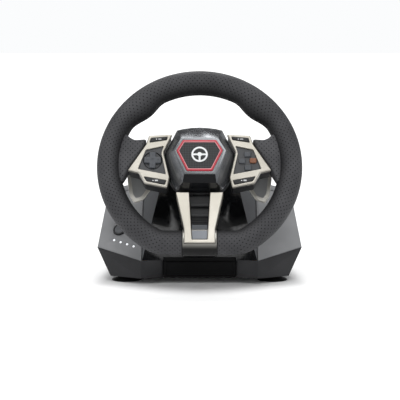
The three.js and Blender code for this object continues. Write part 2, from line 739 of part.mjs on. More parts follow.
function baseUpperShell() {
  const corners = upperCorners();
  const inside = hull(openBelow(corners, 1 / Math.tan(radians(panelSlope))));
  const modeHole = leftPanelTool(rod(modeButton.radius + 2.2, -12, 0, -modeButton.x, modeButton.y, 24));
  const lampHoles = lampPlaces().map(([x, y]) => leftPanelTool(rod(lamps.radius + 0.5, -12, 0, x, y, 10)));
  const body = cut(hull(corners), inside, hull(lowerCorners(gap)), columnInside());
  return cut(body, frontCoverBox(gap), modeHole, ...lampHoles);
}

function lowerInside() {
  const points = shrunk(lowerCorners(0), wall + 0.4);
  const open = hull(points.map(([x, y, z]) => [x, y, z < 20 ? floorTop : z + 12]));
  const behindHollow = inset(frontHollow, -wall);
  return cut(open, prism(behindHollow, 0, 100));
}

function cupPositions() {
  return [cupPlaces.front, cupPlaces.rear].flatMap(([x, y]) => [[x, y], [-x, y]]);
}

// floor and flared walls of the base, with bosses under the board, the motors and the carrier
function baseLowerShell() {
  const shell = cut(hull(lowerCorners(0)), prism(frontHollow, 0, 100), lowerInside());
  const bosses = [];
  for (const x of [-48, 42]) {
    bosses.push(block(x, x + 6, 102, 108, floorTop - 1, 16.7), block(x, x + 6, 150, 156, floorTop - 1, 16.7));
  }
  for (const x of [-motor.x - 22, motor.x + 4]) {
    bosses.push(block(x, x + 18, motor.y - 8, motor.y + 8, floorTop - 1, motor.z - motor.radius - gap));
  }
  for (const x of [-30, 20]) {
    bosses.push(block(x, x + 10, 26, 36, floorTop - 1, wheelHeight - 119));
  }
  const studs = cupPositions().map(([x, y]) => rod(cup.stud + gap, 0, 30, x, y, 12));
  const rearWindow = block(-46, 46, 160, 190, 13, 44);
  const slab = prism(inset(panelOutline, -gap), -panelSheet - gap, 8);
  const underPanels = [1, -1].map((side) =>
    (side > 0 ? slab : mirrorX(slab)).clone().applyMatrix4(panelFrame(side)));
  return cut(joined(shell, ...bosses), ...studs, rearWindow, ...underPanels);
}

function lightPanel(side) {
  const points = side > 0 ? panelOutline : flipped(panelOutline);
  const body = prism(points, -panelSheet, 0, 0.9);
  const groove = block(-70, 70, 118.4, 120, -1, 2);
  if (side > 0) return cut(body, groove);
  const holes = lampPlaces().map(([x, y]) => rod(lamps.radius + 0.3, -9, 9, x, y, 10));
  return cut(body, groove, rod(modeButton.radius + 0.5, -9, 9, -modeButton.x, modeButton.y, 24), ...holes);
}

function modeButtonCap() {
  const cap = rod(modeButton.radius, -5.2, 2.2, 0, 0, 24);
  return joined(cap, rod(modeButton.radius + 1.4, -5.2, -panelSheet - gap, 0, 0, 24));
}

function lightPipe() {
  const pegs = lampPlaces().map(([x, y]) => rod(lamps.radius, -11, -0.3, x, y, 10));
  const [first, last] = [lampPlaces()[0], lampPlaces().at(-1)];
  const bar = [
    [first[0] + 2, first[1] - 3], [last[0] - 2, last[1] - 3], [last[0] - 2, last[1] + 1],
    [first[0] + 2, first[1] + 1],
  ];
  return joined(...pegs, prism(bar, -12, -9.6));
}

function frontCoverBox(grow) {
  const { half, front, back, top } = frontBox;
  return block(-half - grow, half + grow, front - 8 * grow, back + grow, floorZ + 0.4 - 8 * grow, top + grow);
}

function frontCover() {
  const { half, front, top } = frontBox;
  const inside = block(-half + wall, half - wall, front + 3.4, 40, floorTop, top - wall);
  const face = block(-half + 4, half - 4, 0, front + 1, floorTop, top - 7);
  const ledge = block(-half - 1, half + 1, 0, front + 1.6, top - 6, top - 4.8);
  return cut(frontCoverBox(0), inside, face, ledge);
}

function columnShroud() {
  const nose = alongShaft(turned([
    [0, collar.back], [collar.outerBack, collar.back], [collar.outerBack, collar.flare],
    [collar.outerFront, collar.front], [0, collar.front],
  ], 32));
  return cut(
    joined(hull(columnCorners), nose),
    columnInside(),
    hull(shrunk(upperCorners(), -gap)),
    hull(lowerCorners(gap)),
    frontCoverBox(gap),
    alongShaft(rod(collar.inner, collar.bore, -20, 0, 0, 32)),
  );
}

function rearCover() {
  const body = block(-45.6, 45.6, 171.8, 174, 13.4, 43.6);
  return cut(body, ...socketTools(0.8));
}

// rectangular sockets that open to the rear: the computer inlet, then the pedal and shifter jacks
const sockets = [{ x: -20, half: 4.3 }, { x: 0, half: 5.4 }, { x: 20, half: 5.4 }];

function socketTools(grow) {
  const high = 4 + grow;
  return sockets.map(({ x, half }) => {
    const reach = half + grow;
    return block(x - reach, x + reach, socket.y - socket.depth, 190, socket.z - high, socket.z + high);
  });
}

function portBlock() {
  return cut(block(-30, 30, 159, socket.y, 17, 31), ...socketTools(0));
}

function suctionCup() {
  return turned([
    [0, 3.2], [9, 2.6], [cup.radius - 2.5, 0], [cup.radius, 0], [cup.radius, 0.8], [11, 4.8], [cup.neck, 5.6],
    [cup.neck, floorZ - gap], [cup.stud, floorZ - gap], [cup.stud, floorTop + gap], [4.6, floorTop + gap],
    [cup.stud, 15], [0, 15],
  ], 18);
}

// a motor lying along X, and its half-round weight that hangs down from the spindle
function rumbleMotor() {
  const body = rodAlongX(motor.radius, 0, motor.length, 0, 0, 20);
  return cut(body, rodAlongX(1.4, -5, motor.length - 4, 0, 0, 10));
}

function rumbleWeight() {
  const half = new THREE.Shape().absarc(0, 0, motor.weight, Math.PI, 2 * Math.PI, false);
  const width = motor.weightWidth;
  const disc = new THREE.ExtrudeGeometry(half, { depth: width, bevelEnabled: false, curveSegments: 8 });
  disc.rotateX(Math.PI / 2).rotateZ(Math.PI / 2).translate(-width - 1.5, 0, 0);
  const collet = rodAlongX(2.4, -width - 1.5, -1.5, 0, 0, 10);
  const spindle = rodAlongX(1, -width - 2, motor.length - 8, 0, 0, 10);
  return joined(disc, collet, spindle);
}

// ---- assembly ----

function buildWheel() {
  const wheel = new THREE.Group();
  wheel.position.set(0, 0, wheelHeight);
  wheel.rotation.x = radians(90 - wheelTilt);
  addPart(wheel, 'wheel_frame', wheelFrame(), 'steel');
  addPart(wheel, 'rim_grip', rimGrip(), 'leather');
  addPart(wheel, 'rim_clip', rimClip(), 'champagne');
  addPart(wheel, 'lower_spoke_bezel', lowerSpokeBezel(), 'champagne');
  addPart(wheel, 'lower_spoke_grille', lowerSpokeGrille(), 'black');
  addPart(wheel, 'spoke_lens', spokeLens(), 'light');
  addPart(wheel, 'left_pod', podCasing(), 'black');
  addPart(wheel, 'right_pod', mirrorX(podCasing()), 'black');
  addPart(wheel, 'left_plate', plateSheet(), 'champagne');
  addPart(wheel, 'right_plate', mirrorX(plateSheet()), 'champagne');
  addPart(wheel, 'left_button_panel', leftButtonPanel(), 'dark');
  addPart(wheel, 'right_button_panel', rightButtonPanel(), 'dark');
  addPart(wheel, 'wheel_board', wheelBoard(), 'board');
  addPart(wheel, 'hub_cover', hubCover(), 'gunmetal');
  addPart(wheel, 'hub_lower_trim', hubLowerTrim(), 'gloss');
  addPart(wheel, 'badge_ring', badgeRing(), 'red');
  addPart(wheel, 'badge_plate', badgePlate(), 'black');
  addPart(wheel, 'hub_back', hubBack(), 'black');
  addPart(wheel, 'steering_shaft', steeringShaft(), 'steel');
  addPart(wheel, 'shaft_nut', shaftNut(), 'steel');
  addPart(wheel, 'shaft_pinion', shaftPinion(), 'brass');
  for (const [name, side] of [['left', -1], ['right', 1]]) {
    const mirror = (geometry) => (side < 0 ? geometry : mirrorX(geometry));
    addPart(wheel, `${name}_paddle`, mirror(paddleLever()), 'light');
    addPart(wheel, `${name}_paddle_pin`, paddlePin(), 'steel', [side * paddle.axisX, 0, paddle.axisZ]);
    addPart(wheel, `${name}_upper_button`, mirror(slotButton(upperSlot)), 'dark');
    addPart(wheel, `${name}_lower_button`, mirror(slotButton(lowerSlot)), 'dark');
  }
  addPart(wheel, 'dpad', directionPad(), 'dark', [dpad.x, dpad.y, 0]);
  addPart(wheel, 'dpad_pivot', directionPivot(), 'black', [dpad.x, dpad.y, 0]);
  for (const [name, place] of Object.entries(faceButtons)) {
    const look = name === 'face_button_right' ? 'orange' : 'dark';
    const cap = pushButton(faceCap, panel.front + button.proud, button.flangeHigh, button.flangeLow);
    addPart(wheel, name, cap, look, [...place, 0]);
  }
  return wheel;
}

// what the shaft passes through and drives inside the base, in the wheel's frame
function buildDrive() {
  const drive = new THREE.Group();
  drive.position.set(0, 0, wheelHeight);
  drive.rotation.x = radians(90 - wheelTilt);
  addPart(drive, 'gear_carrier', gearCarrier(), 'grey');
  addPart(drive, 'front_bearing', ballBearing(carrier.frontBack), 'steel');
  addPart(drive, 'rear_bearing', ballBearing(carrier.rearBack), 'steel');
  addPart(drive, 'sensor_gear', sensorGear(), 'brass', [0, -gearDistance, 0]);
  addPart(drive, 'sensor_pot', sensorPot(), 'black', [0, -gearDistance, 0]);
  addPart(drive, 'centering_spring', centeringSpring(), 'steel');
  return drive;
}

function buildPanel(side) {
  const group = new THREE.Group();
  group.applyMatrix4(panelFrame(side));
  addPart(group, side > 0 ? 'right_panel' : 'left_panel', lightPanel(side), 'grey');
  if (side < 0) {
    addPart(group, 'mode_button', modeButtonCap(), 'light', [-modeButton.x, modeButton.y, 0]);
    addPart(group, 'led_light_pipe', lightPipe(), 'lamp');
  }
  return group;
}

function buildBase() {
  const base = new THREE.Group();
  addPart(base, 'base_upper_shell', baseUpperShell(), 'dark');
  addPart(base, 'base_lower_shell', baseLowerShell(), 'dark');
  addPart(base, 'column_shroud', columnShroud(), 'black');
  addPart(base, 'front_cover', frontCover(), 'gloss');
  addPart(base, 'rear_cover', rearCover(), 'black');
  addPart(base, 'port_block', portBlock(), 'black');
  addPart(base, 'base_board', block(-55, 55, 98, 158.5, 17, 18.6), 'board');
  for (const [name, side] of [['left', -1], ['right', 1]]) {
    const mirror = (geometry) => (side > 0 ? geometry : mirrorX(geometry));
    addPart(base, `${name}_motor`, mirror(rumbleMotor()), 'steel', [side * motor.x, motor.y, motor.z]);
    addPart(base, `${name}_weight`, mirror(rumbleWeight()), 'brass', [side * motor.x, motor.y, motor.z]);
    addPart(base, `front_${name}_cup`, suctionCup(), 'rubber', [side * cupPlaces.front[0], cupPlaces.front[1], 0]);
    addPart(base, `rear_${name}_cup`, suctionCup(), 'rubber', [side * cupPlaces.rear[0], cupPlaces.rear[1], 0]);
  }
  base.add(buildPanel(1), buildPanel(-1));
  return base;
}

const racingWheel = new THREE.Group();
racingWheel.position.y = wheelForward;
racingWheel.add(buildWheel(), buildDrive(), buildBase());

export default racingWheel;
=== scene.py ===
import json
import math

import bmesh
import bpy
import numpy as np
from mathutils.geometry import delaunay_2d_cdt
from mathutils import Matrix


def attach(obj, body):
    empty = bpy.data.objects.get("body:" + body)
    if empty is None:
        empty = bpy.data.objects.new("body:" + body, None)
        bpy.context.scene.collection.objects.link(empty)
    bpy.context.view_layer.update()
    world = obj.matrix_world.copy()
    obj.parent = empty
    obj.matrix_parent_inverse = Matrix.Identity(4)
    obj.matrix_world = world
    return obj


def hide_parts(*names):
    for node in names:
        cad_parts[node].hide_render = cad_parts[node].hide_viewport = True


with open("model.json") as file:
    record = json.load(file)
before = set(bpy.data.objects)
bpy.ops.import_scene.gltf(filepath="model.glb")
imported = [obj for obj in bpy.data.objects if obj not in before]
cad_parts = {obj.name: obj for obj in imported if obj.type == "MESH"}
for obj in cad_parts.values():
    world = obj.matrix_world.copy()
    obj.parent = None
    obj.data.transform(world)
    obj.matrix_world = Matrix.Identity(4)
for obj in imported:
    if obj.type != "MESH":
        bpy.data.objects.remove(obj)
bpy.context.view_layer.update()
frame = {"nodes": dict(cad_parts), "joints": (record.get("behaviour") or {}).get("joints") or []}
nodes = frame["nodes"]
joints = {joint["name"]: joint for joint in frame["joints"]}


# local frames: an origin in metres and three directions as rows

shaftOut = np.array(joints["steering"]["axis"], float)
acrossWheel = np.array([1.0, 0.0, 0.0])
wheel = {  # x right, y up the wheel, z along the shaft towards the driver
    "origin": np.array(joints["steering"]["pos_m"], float),
    "axes": np.array([acrossWheel, np.cross(shaftOut, acrossWheel), shaftOut]),
}
# the base is drawn with y = 0 under the middle of the rim
base = {"origin": wheel["origin"] * [0, 1, 0], "axes": np.eye(3)}


# inner lower corner of the right light panel, in m from the origin of the base
panelCorner = np.array([0.0805, 0.002, 0.032])


# frame of a light panel: x outwards, y up its slope, z out of its face
def panelFrame(side):
    out = -np.array(joints["mode_press"]["axis"], float) * [-side, 1, 1]
    up = np.array([0, out[2], -out[1]]) / math.hypot(out[1], out[2])
    return {"origin": base["origin"] + panelCorner * [side, 1, 1],
            "axes": np.array([np.cross(up, out), up, out])}


# world = origin + x * first axis + y * second + z * third, with x, y, z in mm
def toWorld(points, place):
    return np.asarray(points, float) * 0.001 @ place["axes"] + place["origin"]


# outlines

# an outline is either an array of points, or a dictionary of corners and how far each is cut back
def ccw(points):
    if isinstance(points, dict):
        return points
    points = np.asarray(points, float)
    x, y = points.T
    area = np.sum(x * np.roll(y, -1) - np.roll(x, -1) * y)
    return points if area > 0 else points[::-1]


def mirrorX(outline):
    if isinstance(outline, dict):
        return {**outline, "corners": mirrorX(outline["corners"])[::-1], "cuts": outline["cuts"][::-1]}
    return np.asarray(outline, float) * [-1, 1]


# half an outline from the top middle down the right side, closed by its mirror image
def mirrored(points):
    points = np.asarray(points, float)
    return np.vstack([points, mirrorX(points[points[:, 0] > 0][::-1])])


# each edge moved inwards by a distance: corner + bisector * distance / cos(half the turn); a rounded
# corner keeps the same centre, so its cut shrinks by distance * tan(half the turn)
def inset(outline, distance):
    points = ccw(outline["corners"] if isinstance(outline, dict) else outline)
    along = np.roll(points, -1, axis=0) - points
    along /= np.maximum(np.linalg.norm(along, axis=1, keepdims=True), 1e-9)
    inward = np.column_stack([-along[:, 1], along[:, 0]])
    middle = inward + np.roll(inward, 1, axis=0)
    middle /= np.maximum(np.linalg.norm(middle, axis=1, keepdims=True), 1e-9)
    cosHalf = np.maximum(np.sum(middle * inward, axis=1), 0.3)
    made = points + middle * distance / cosHalf[:, None]
    if not isinstance(outline, dict):
        return made
    before = np.roll(along, 1, axis=0)
    convex = np.sign(before[:, 0] * along[:, 1] - before[:, 1] * along[:, 0])
    tanHalf = convex * np.sqrt(1 - cosHalf ** 2) / cosHalf
    return {**outline, "corners": made, "cuts": np.maximum(outline["cuts"] - distance * tanHalf, 0.03)}


def rounded(points, cut, steps=5):
    points = ccw(points)
    ahead = np.linalg.norm(np.roll(points, -1, axis=0) - points, axis=1)
    return {"corners": points, "cuts": np.minimum(cut, 0.46 * np.minimum(ahead, np.roll(ahead, 1))),
            "steps": steps}


# points of an outline: each cut corner is a quadratic curve from one side to the other
def curve(outline):
    if not isinstance(outline, dict):
        return ccw(outline)
    points = outline["corners"]
    before = np.roll(points, 1, axis=0) - points
    after = np.roll(points, -1, axis=0) - points
    lengths = [np.maximum(np.linalg.norm(v, axis=1), 1e-9) for v in (before, after)]
    cut = np.minimum(outline["cuts"], 0.48 * np.minimum(*lengths))[:, None, None]
    t = np.linspace(0, 1, outline["steps"] + 1)[None, :, None]
    corner = points[:, None, :]
    first = corner + (before / lengths[0][:, None])[:, None, :] * cut
    last = corner + (after / lengths[1][:, None])[:, None, :] * cut
    return ((1 - t) ** 2 * first + 2 * t * (1 - t) * corner + t ** 2 * last).reshape(-1, 2)


# the same points at 0, 90, 180 and 270 degrees round the origin
def quarterTurns(points):
    quarter = np.array([[0.0, 1.0], [-1.0, 0.0]])
    return [np.asarray(points, float) @ np.linalg.matrix_power(quarter, k) for k in range(4)]


# equally spaced angles of a full turn
def around(sides):
    return np.arange(sides) * 2 * math.pi / sides


def circle(radius, x=0.0, y=0.0, sides=40):
    a = around(sides)
    return np.column_stack([x + radius * np.cos(a), y + radius * np.sin(a)])


def rectangle(x0, x1, y0, y1):
    return np.array([[x0, y0], [x1, y0], [x1, y1], [x0, y1]], float)


# surfaces: each gives points in mm and faces

# quads between neighbouring rows of a grid of point numbers whose rows are closed rings
def strip(grid, side=1):
    a, b = grid[:-1], grid[1:]
    quads = np.stack([a, np.roll(a, -1, axis=1), np.roll(b, -1, axis=1), b], axis=-1).reshape(-1, 4)
    return (quads if side > 0 else quads[:, ::-1]).tolist()


# wall of a sheet as (inset, height) rows: flat rim, quarter round, straight, quarter round, flat rim
def edge(low, high, top=0.8, bottom=0.3, steps=4, rim=0.3):
    a = np.linspace(0, math.pi / 2, steps + 1)
    lower = np.column_stack([bottom * (1 - np.sin(a)), low + bottom * (1 - np.cos(a))])
    upper = np.column_stack([top * (1 - np.cos(a)), high - top * (1 - np.sin(a))])
    return np.vstack([[bottom + rim, low], lower, upper, [top + rim, high]])


# which places lie inside an odd number of rings: a line from each towards +x crosses them that often
def inside(places, rings):
    a = np.vstack(rings)[None]
    b = np.vstack([np.roll(ring, -1, axis=0) for ring in rings])[None]
    place = places[:, None, :]
    crosses = (a[..., 1] > place[..., 1]) != (b[..., 1] > place[..., 1])
    rise = np.where(crosses, b[..., 1] - a[..., 1], 1)
    xAt = a[..., 0] + (place[..., 1] - a[..., 1]) / rise * (b[..., 0] - a[..., 0])
    return (crosses & (place[..., 0] < xAt)).sum(axis=1) % 2 == 1


# triangles that fill the flat between rings: all whose middle lies inside an odd number of rings
def cap(points, rings, up, extra=()):
    index = np.concatenate([*rings, np.asarray(extra, int)])
    flat = points[index][:, :2]
    edges, start = [], 0
    for ring in rings:
        k = start + np.arange(len(ring))
        edges.append(np.column_stack([k, start + (k - start + 1) % len(ring)]))
        start += len(ring)
    edges = np.vstack(edges)
    made = delaunay_2d_cdt(flat.tolist(), edges.tolist(), [], 0, 1e-5)
    source = np.array([ids[0] if ids else -1 for ids in made[3]])
    tris = source[np.array(made[2])]
    if (source < 0).any():
        crossings = [np.round(place, 2).tolist() for place, ids in zip(made[0], made[3]) if not ids]
        print("outline crosses itself near", crossings)
        tris = tris[(tris >= 0).all(axis=1)]
    tris = tris[inside(flat[tris].mean(axis=1), [points[ring][:, :2] for ring in rings])]
    p = flat[tris]
    turn = np.cross(p[:, 1] - p[:, 0], p[:, 2] - p[:, 0])
    tris = np.where((turn > 0)[:, None] == up, tris, tris[:, ::-1])
    return index[tris].tolist()


# a sheet with holes: every outline is repeated at each (inset, height) row, then both ends are filled
def sheet(outer, rows, holes=(), holeRows=None, fill=0.0):
    points, faces, ends, count = [], [], ([], []), 0
    for loop, side in [(outer, 1)] + [(hole, -1) for hole in holes]:
        wall = rows if side > 0 or holeRows is None else holeRows
        flats = [curve(inset(loop, side * d)) for d, z in wall]
        rings = [np.column_stack([flat, np.full(len(flat), z)]) for flat, (d, z) in zip(flats, wall)]
        grid = count + np.arange(sum(map(len, flats))).reshape(len(wall), -1)
        points += rings
        faces += strip(grid, side)
        ends[0].append(grid[0])
        ends[1].append(grid[-1])
        count += grid.size
    points = np.vstack(points)
    extra = []
    if fill:
        ring = points[ends[1][0]]
        x, y = np.meshgrid(*[np.arange(ring[:, k].min() + fill / 2, ring[:, k].max(), fill) for k in (0, 1)])
        more = np.column_stack([x.ravel() + 0.011 * y.ravel(), y.ravel(), 0 * x.ravel() + ring[0, 2]])
        away = np.min([np.linalg.norm(more[:, None, :2] - points[end][None, :, :2], axis=2).min(axis=1)
                       for end in ends[1]], axis=0)
        more = more[(away > fill / 2) & inside(more[:, :2], [points[end][:, :2] for end in ends[1]])]
        extra = len(points) + np.arange(len(more))
        points = np.vstack([points, more])
    return points, faces + cap(points, ends[0], False) + cap(points, ends[1], True, extra)


# a profile of (radius, height) pairs turned about z
def turned(profile, sides=64, x=0.0, y=0.0):
    profile = np.asarray(profile, float)
    a = around(sides)
    r = profile[:, :1]
    points = np.stack([x + r * np.cos(a), y + r * np.sin(a), profile[:, 1:] + 0 * a], axis=-1)
    return points.reshape(-1, 3), strip(np.arange(points.shape[0] * sides).reshape(-1, sides))


# rows of rings joined into a tube, with a flat polygon at each end
def tube(rings):
    count, sides = rings.shape[:2]
    grid = np.arange(count * sides).reshape(count, sides)
    faces = strip(grid) + [grid[0][::-1].tolist(), grid[-1].tolist()]
    return rings.reshape(-1, 3), faces


# rings of a round bar between two points, with quarter-round ends
def bar(start, end, radius, sides=16, nose=0.5):
    start, end = np.array(start, float), np.array(end, float)
    along = (end - start) / np.linalg.norm(end - start)
    side = np.cross(along, [0, 0, 1] if abs(along[2]) < 0.9 else [1, 0, 0])
    side /= np.linalg.norm(side)
    a = around(sides)
    ring = np.cos(a)[:, None] * side + np.sin(a)[:, None] * np.cross(along, side)
    t = np.linspace(0, math.pi / 2, 4)
    back, r = nose * (1 - np.sin(t)), radius - nose * (1 - np.cos(np.pi / 2 - t))
    first = start + along * back[:, None]
    last = (end - along * back[:, None])[::-1]
    middles = np.vstack([first, last])[:, None, :]
    radii = np.concatenate([r, r[::-1]])[:, None, None]
    return tube(middles + ring[None] * radii)


def joined(*shapes):
    points, faces, count = [], [], 0
    for p, f in shapes:
        points.append(np.asarray(p, float))
        faces += [[v + count for v in face] for face in f]
        count += len(p)
    return np.vstack(points), faces


def moved(shape, x=0.0, y=0.0, z=0.0):
    return shape[0] + [x, y, z], shape[1]


def flippedX(shape):
    return shape[0] * [-1, 1, 1], [face[::-1] for face in shape[1]]


# shapes of a pair are drawn for the left side, which is -1; the right one is the mirror image
pairSides = ((-1, "left"), (1, "right"))


def onSide(shape, side):
    return shape if side < 0 else flippedX(shape)


# a repeated small shape: one copy per row of places
def repeated(shape, places):
    points, faces = shape
    places = np.asarray(places, float)
    made = (points[None] + places[:, None, :]).reshape(-1, 3)
    steps = np.arange(len(places)) * len(points)
    return made, [[v + int(step) for v in face] for step in steps for face in faces]


# objects

def finishObject(name, mesh, finish, body, stands=(), creaseAngle=38):
    mesh.shade_smooth()
    mesh.set_sharp_from_angle(angle=math.radians(creaseAngle))
    piece = bpy.data.objects.new(name, mesh)
    bpy.context.scene.collection.objects.link(piece)
    piece.data.materials.append(finishes[finish])
    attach(piece, body)
    if stands:
        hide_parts(*stands)
    return piece


# the vertex number at each corner of each face
def cornerVertices(mesh):
    corners = np.empty(len(mesh.loops), int)
    mesh.loops.foreach_get("vertex_index", corners)
    return corners


# a new piece from points in mm in its own frame; its UV map holds those x and y in mm
def makePiece(name, shape, place, finish, body, stands=(), creaseAngle=38):
    points, faces = shape
    mesh = bpy.data.meshes.new(name)
    mesh.from_pydata(np.asarray(points).tolist(), [], faces)
    work = bmesh.new()
    work.from_mesh(mesh)
    bmesh.ops.remove_doubles(work, verts=work.verts, dist=1e-3)
    bmesh.ops.recalc_face_normals(work, faces=work.faces)
    work.to_mesh(mesh)
    work.free()
    local = np.empty(len(mesh.vertices) * 3)
    mesh.vertices.foreach_get("co", local)
    local = local.reshape(-1, 3)
    mesh.uv_layers.new(name="flat").data.foreach_set("uv", local[cornerVertices(mesh)][:, :2].ravel())
    mesh.vertices.foreach_set("co", toWorld(local, place).ravel())
    mesh.update()
    return finishObject(name, mesh, finish, body, stands, creaseAngle)


# a merged copy of a CAD node with its flat faces joined and its edges rounded by a bevel
def softened(name, node, finish, body, width=0.6, steps=3, angle=25):
    mesh = bpy.data.meshes.new(name)
    work = bmesh.new()
    work.from_mesh(nodes[node].data)
    bmesh.ops.remove_doubles(work, verts=work.verts, dist=2e-6)
    bmesh.ops.dissolve_limit(work, angle_limit=math.radians(1), verts=work.verts, edges=work.edges)
    work.to_mesh(mesh)
    work.free()
    piece = finishObject(name, mesh, finish, body, (node,))
    bevel = piece.modifiers.new("edges", "BEVEL")
    bevel.width = width * 0.001
    bevel.segments = steps
    bevel.limit_method = "ANGLE"
    bevel.angle_limit = math.radians(angle)
    bevel.harden_normals = True
    bevel.miter_outer = "MITER_ARC"
    return piece


# materials

def linear(hexColour):
    c = np.array([int(hexColour[i:i + 2], 16) / 255 for i in (1, 3, 5)])
    return (*np.where(c <= 0.04045, c / 12.92, ((c + 0.055) / 1.055) ** 2.4).tolist(), 1.0)


# joins outputs of other nodes, given as (node, output), to inputs of a node
def link(tree, node, links):
    for key, (source, output) in links.items():
        tree.links.new(source.outputs[output], node.inputs[key])


# adds one node with its settings, its fixed inputs and its links
def addNode(tree, kind, settings=None, inputs=None, links=None):
    node = tree.nodes.new("ShaderNode" + kind)
    for key, value in (settings or {}).items():
        setattr(node, key, value)
    for key, value in (inputs or {}).items():
        node.inputs[key].default_value = value
    link(tree, node, links or {})
    return node


# a new material: its principled shader and the tree it is in
def newMaterial(name, **values):
    material = bpy.data.materials.new(name)
    material.use_nodes = True
    tree = material.node_tree
    shader = tree.nodes["Principled BSDF"]
    for key, value in values.items():
        shader.inputs[key.replace("_", " ")].default_value = value
    return material, tree, shader


# sets the colours and places of a colour ramp
def setRamp(node, colours, places):
    for element, colour, place in zip(node.color_ramp.elements, colours, places):
        element.color, element.position = linear(colour), place


# a fine grain, whose size and height are in mm, drives the roughness and a shallow bump; a wide cloud
# runs between two colours
def addGrain(tree, shader, size, colours, roughness, height, detail=4.0, stretch=(1, 1, 1)):
    place = addNode(tree, "TexCoord")
    centred = addNode(tree, "Mapping", inputs={"Scale": stretch}, links={"Vector": (place, "Object")})
    grain = addNode(tree, "TexNoise", inputs={"Scale": 1000 / size, "Detail": detail, "Roughness": 0.6},
                    links={"Vector": (centred, "Vector")})
    cloud = addNode(tree, "TexNoise", inputs={"Scale": 22.0, "Detail": 2.0},
                    links={"Vector": (centred, "Vector")})
    tint = addNode(tree, "ValToRGB", links={"Fac": (cloud, "Fac")})
    setRamp(tint, colours, (0.35, 0.68))
    span = {"From Min": 0.3, "From Max": 0.7, "To Min": roughness[0], "To Max": roughness[1]}
    gloss = addNode(tree, "MapRange", inputs=span, links={"Value": (grain, "Fac")})
    bump = addNode(tree, "Bump", inputs={"Strength": 1.0, "Distance": height * 0.001},
                   links={"Height": (grain, "Fac")})
    link(tree, shader, {"Base Color": (tint, "Color"), "Roughness": (gloss, "Result"),
                        "Normal": (bump, "Normal")})
    return tint, bump


# moulded ABS with a spark-eroded grain: matt, faintly uneven, soft highlights
def texturedAbs(name, colours, roughness=(0.42, 0.56), grain=0.9, height=0.02, shine=0.35):
    material, tree, shader = newMaterial(name, IOR=1.53, Specular_IOR_Level=shine)
    addGrain(tree, shader, grain, colours, roughness, height)
    return material


# polished ABS: deep and glassy, with a slight orange peel of a few mm
def glossAbs(name, colours, roughness=(0.1, 0.16)):
    material, tree, shader = newMaterial(name, IOR=1.53, Specular_IOR_Level=0.5)
    addGrain(tree, shader, 5.0, colours, roughness, 0.01, detail=1.0)
    return material


# satin metallic paint over ABS: fine flake sparkle under a soft clear coat
def satinPaint(name, colours, metallic=0.82, roughness=(0.27, 0.37), coat=0.25):
    material, tree, shader = newMaterial(name, Metallic=metallic, Coat_Weight=coat, Coat_Roughness=0.18)
    addGrain(tree, shader, 0.45, colours, roughness, 0.004, detail=3.0)
    return material


# satin paint with painted shade towards the ground, on the side that faces down away from the light: the
# paint runs to near black between two heights in m
def paintShadedBelow(name, colours, shadeColour, low, high):
    material = satinPaint(name, colours)
    tree = material.node_tree
    shader = tree.nodes["Principled BSDF"]
    tint = shader.inputs["Base Color"].links[0].from_node
    place = addNode(tree, "TexCoord")
    height = addNode(tree, "SeparateXYZ", links={"Vector": (place, "Object")})
    fade = addNode(tree, "MapRange", {"interpolation_type": "SMOOTHSTEP"},
                   {"From Min": low, "From Max": high}, {"Value": (height, "Z")})
    mixed = addNode(tree, "Mix", {"data_type": "RGBA"},
                    links={"Factor": (fade, "Result"), 7: (tint, "Color")})
    mixed.inputs[6].default_value = linear(shadeColour)
    link(tree, shader, {"Base Color": (mixed, 2)})
    return material


# turned or drawn steel and brass: fine streaks along one direction
def bareMetal(name, colours, roughness=(0.24, 0.4), stretch=(1, 6, 1)):
    material, tree, shader = newMaterial(name, Metallic=1.0)
    addGrain(tree, shader, 1.2, colours, roughness, 0.006, stretch=stretch)
    return material


# the UV map, and the same turned by 45 degrees with a cell of a given size in mm as its unit
def slantedCells(tree, size):
    along = addNode(tree, "UVMap", {"uv_map": "flat"})
    slanted = addNode(tree, "Mapping",
                      inputs={"Rotation": (0, 0, math.radians(45)), "Scale": (1 / size, 1 / size, 1)},
                      links={"Vector": (along, "UV")})
    return along, slanted


# a colour mixed with a darker one by a factor; factor, colour and result are (node, output)
def darkened(tree, factor, colour, darker):
    mixed = addNode(tree, "Mix", {"data_type": "RGBA"}, links={"Factor": factor, 6: colour})
    mixed.inputs[7].default_value = linear(darker)
    return mixed, 2
